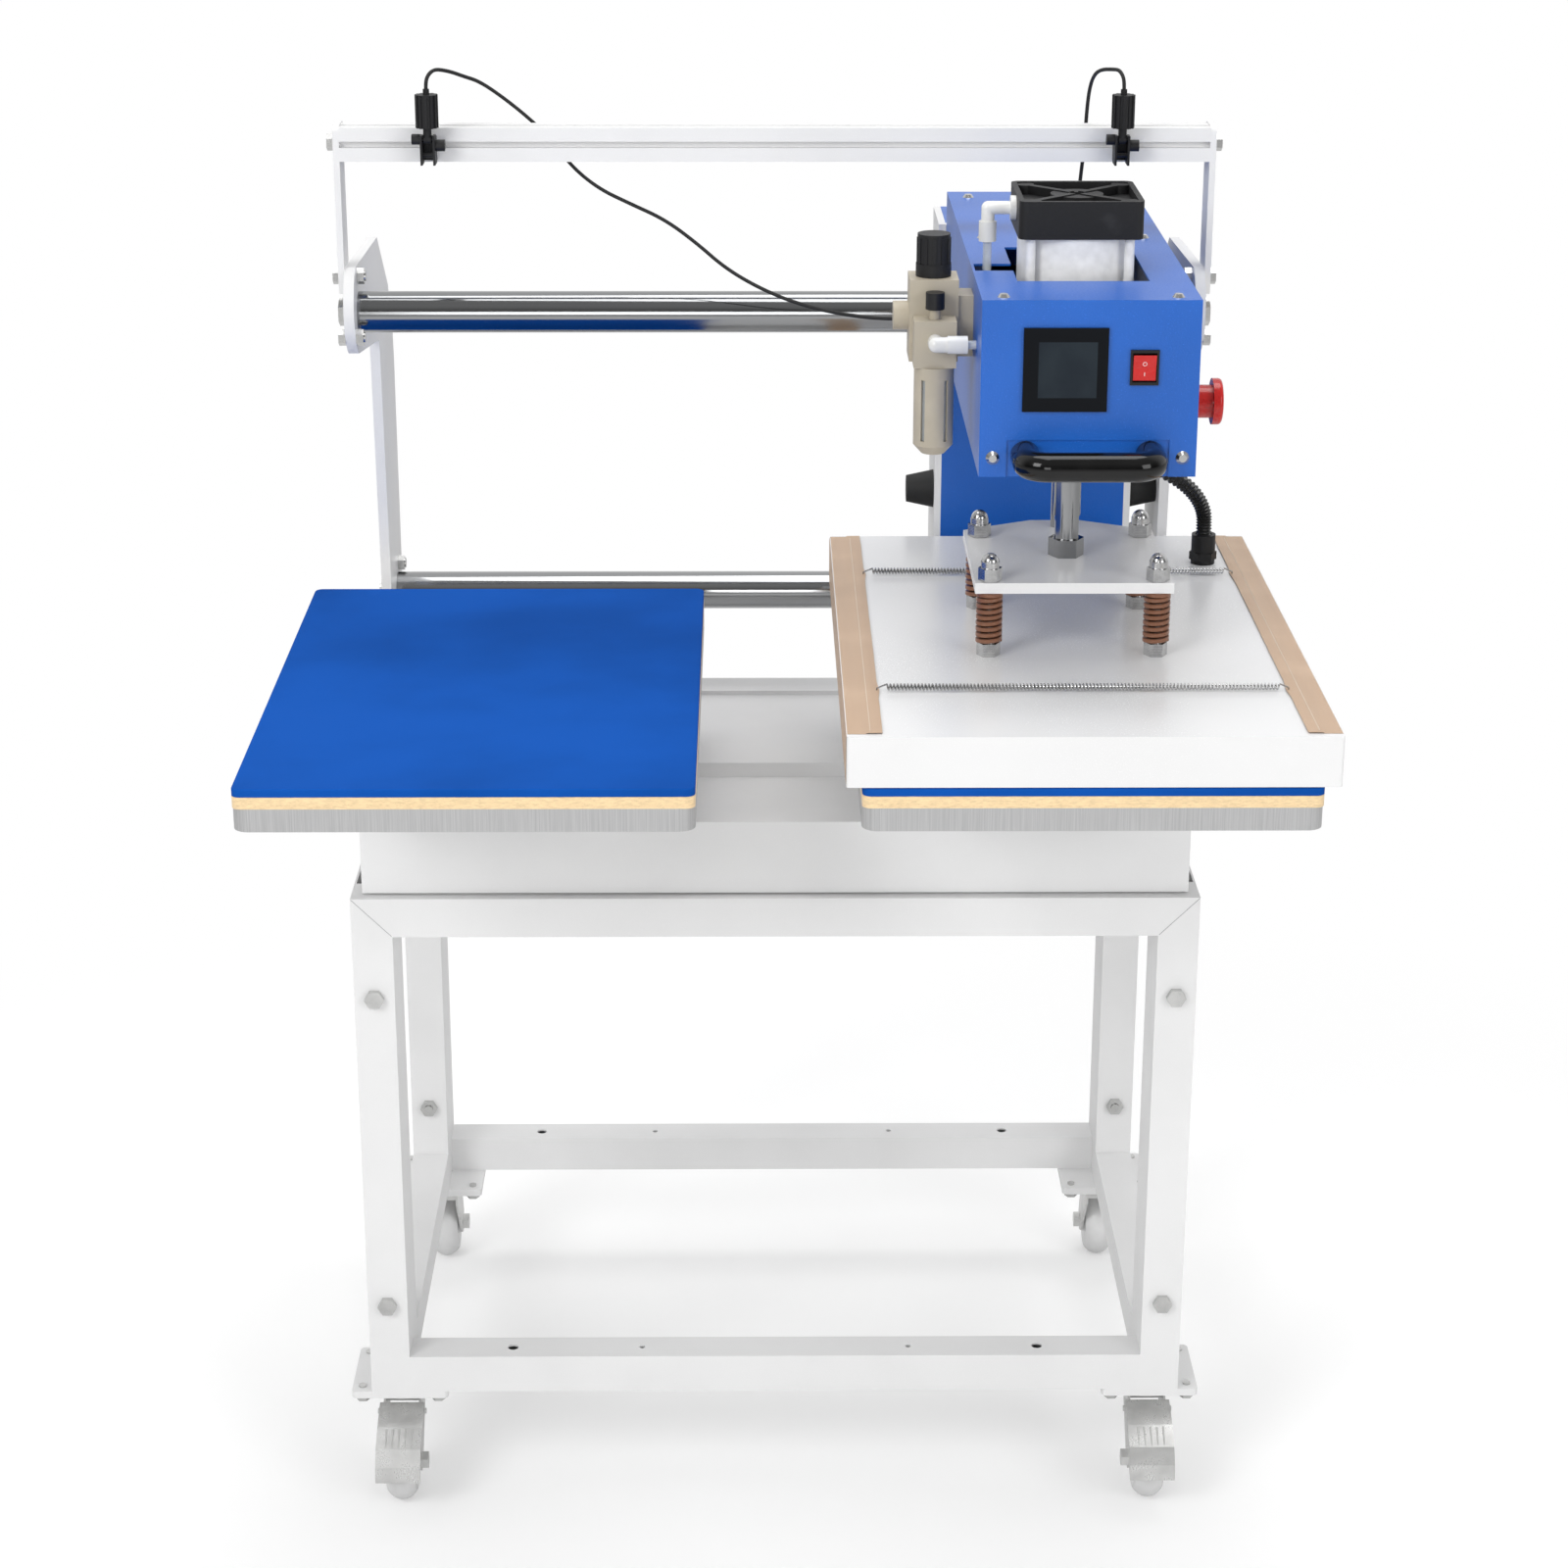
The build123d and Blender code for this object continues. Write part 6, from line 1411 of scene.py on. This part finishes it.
@dataclass
class Studio:
    """Pale floor, soft lights and the photograph's camera."""

    camera_place: Place = (-0.031736, -3.1598, 1.8774)
    pitch: float = 0.34517
    yaw: float = 0.01065
    roll: float = -0.0019216
    focal_pixels: float = 3411.3
    picture_pixels: float = 1600.0
    sensor: float = 36.0
    floor_size: float = 60.0
    floor_tone: float = 0.8
    floor_glow: float = 0.24
    shade_reach: float = 0.85
    white_from: float = 1.7
    lamps: tuple[Lamp, ...] = (
        Lamp("key", (-2.8, -3.6, 3.4), (0.0, 0.1, 0.8), 2.0, 92.0),
        Lamp("fill", (3.0, -3.4, 2.2), (0.1, 0.1, 0.6), 2.0, 46.0),
        Lamp("front", (-0.3, -4.6, 1.5), (0.0, 0.1, 0.8), 1.2, 18.0),
        Lamp("top", (0.2, 0.3, 4.4), (0.0, 0.1, 0.6), 2.4, 64.0))

    def build(self) -> None:
        """Sets the stage."""
        self._floor()
        self._world()
        for lamp in self.lamps:
            lamp.hang()
        self._camera()
        scene = bpy.context.scene
        scene.view_settings.view_transform = "Standard"

    def _camera(self) -> None:
        """Stands the camera where the photograph was taken."""
        ahead = Vector((math.sin(self.yaw) * math.cos(self.pitch),
                        math.cos(self.yaw) * math.cos(self.pitch), -math.sin(self.pitch)))
        right = Vector((math.cos(self.yaw), -math.sin(self.yaw), 0.0))
        down = ahead.cross(right)
        across = right * math.cos(self.roll) + down * math.sin(self.roll)
        below = down * math.cos(self.roll) - right * math.sin(self.roll)
        data = bpy.data.cameras.new("camera")
        data.sensor_width = self.sensor
        data.lens = self.focal_pixels / self.picture_pixels * self.sensor
        data.clip_end = 200.0
        camera = bpy.data.objects.new("camera", data)
        turn = Matrix((across, -below, -ahead)).transposed().to_4x4()
        camera.matrix_world = Matrix.Translation(self.camera_place) @ turn
        bpy.context.scene.collection.objects.link(camera)
        bpy.context.scene.camera = camera

    @staticmethod
    def _world() -> None:
        """Lights the room from above, keeps its sides dim, and shows white to the camera."""
        world = bpy.data.worlds.new("room")
        bpy.context.scene.world = world
        surface = Surface("room", world)

        def wall(strength: float) -> Number:
            """Returns a white background of one strength."""
            return surface.node("ShaderNodeBackground", {}, {"Color": WHITE_LIGHT, "Strength": strength})

        def mix(share: Number, first: Number, second: Number) -> Number:
            """Returns two backgrounds mixed by a share."""
            return surface.node("ShaderNodeMixShader", {}, {0: share, 1: first, 2: second})

        way = surface.node("ShaderNodeTexCoord", {}, {}, "Generated")
        rise = surface.node("ShaderNodeSeparateXYZ", {}, {0: way}, "Z").smooth(0.05, 0.75)
        glossy = surface.node("ShaderNodeLightPath", {}, {}, "Is Glossy Ray")
        seen = surface.node("ShaderNodeLightPath", {}, {}, "Is Camera Ray")
        through = surface.node("ShaderNodeLightPath", {}, {}, "Is Transmission Ray")
        behind = surface.node("ShaderNodeSeparateXYZ", {}, {0: way}, "Y").smooth(-0.25, 0.35)
        low = mix(glossy, wall(0.5), mix(behind, wall(0.05), wall(0.9)))
        high = mix(glossy, wall(0.6), mix(behind, wall(0.35), wall(0.9)))
        room = mix(rise, low, high)
        surface.close(mix((seen + through).above(0.5), room, wall(1.0)), "ShaderNodeOutputWorld")

    def _floor(self) -> None:
        """Lays the floor: white to the camera, with the press's shadow near its feet."""
        Bench.clear()
        bpy.ops.mesh.primitive_plane_add(size=self.floor_size, location=(0.0, 0.0, 0.0))
        floor = bpy.context.active_object
        floor.name = "floor"
        Bench.settle(floor)
        surface = Surface("floor_paint")
        seen = surface.node("ShaderNodeLightPath", {}, {}, "Is Camera Ray")
        across, along = surface.axis("X"), surface.axis("Y")
        far = ((across * across + along * along) ** 0.5).smooth(self.shade_reach, self.white_from)
        matt = surface.node("ShaderNodeBsdfDiffuse", {}, {"Color": (*(self.floor_tone,) * 3, 1.0)})
        glow = surface.node("ShaderNodeEmission", {}, {"Color": WHITE_LIGHT, "Strength": self.floor_glow})
        white = surface.node("ShaderNodeEmission", {}, {"Color": WHITE_LIGHT, "Strength": 1.0})
        lifted = surface.node("ShaderNodeAddShader", {}, {0: matt, 1: glow})
        near = surface.node("ShaderNodeMixShader", {}, {0: seen, 1: matt, 2: lifted})
        whole = surface.node("ShaderNodeMixShader", {}, {0: far * seen, 1: near, 2: white})
        floor.data.materials.append(surface.close(whole))


def laid_out(stub: Place, turns: Sequence[Place]) -> tuple[Place, ...]:
    """Lays a cable's turns out from its laser's stub, in the frame.

    Args:
        stub: The stub's top, in millimetres from the middle of the stand's front.
        turns: Offsets from it, in millimetres.

    Returns:
        The points, in metres in the frame.
    """
    return tuple(((stub[0] + dx) / 1000.0 - ORIGIN[0], (stub[1] + dy) / 1000.0 - ORIGIN[1],
                  (stub[2] + dz) / 1000.0) for dx, dy, dz in turns)


LEFT_ROUTE = laid_out((-328, 146, 1429), (
    (0, 0, 0), (0, 0, 7), (2.46, 2.46, 13.04), (6.73, 6.73, 16.5), (11.67, 11.67, 16.5),
    (22, 22, 13), (33, 34, 7), (46, 52, 0), (66, 65, -16), (90, 69, -36), (114, 65, -58),
    (132, 59, -82), (158, 51, -102), (189, 41, -115), (222, 30, -128), (252, 18, -148),
    (280, 4, -170), (312, -11, -186), (346, -28, -197), (382, -45, -203), (418, -61, -205),
    (450, -74, -203), (476, -83, -199), (490, -86, -198), (504.5, -86, -198)))
RIGHT_ROUTE = laid_out((328, 146, 1429), (
    (0, 0, 0), (0, 0, 7), (-1.58, 3.1, 13.04), (-4.33, 8.47, 16.5), (-7.51, 14.69, 16.5),
    (-19, 30, 14.5), (-24, 47, 7), (-26, 65, -8), (-27, 73, -28), (-28, 72, -50),
    (-30, 65, -72), (-33, 56, -93), (-35, 49, -111), (-36, 46, -123), (-36, 46, -135)))


def main() -> None:
    """Builds every sub-assembly in order."""
    logging.basicConfig(level=logging.INFO, format="%(name)s: %(message)s")
    finishes = Finishes()
    Stand(finishes).build()
    Casters(finishes).build()
    Platens(finishes).build()
    LaserRig(finishes, left_route=LEFT_ROUTE, right_route=RIGHT_ROUTE).build()
    Head(finishes).build()
    Cylinder(finishes).build()
    AirUnit(finishes).build()
    PressUnit(finishes).build()
    Heater(finishes).build()
    Studio().build()


if __name__ == "__main__":
    main()
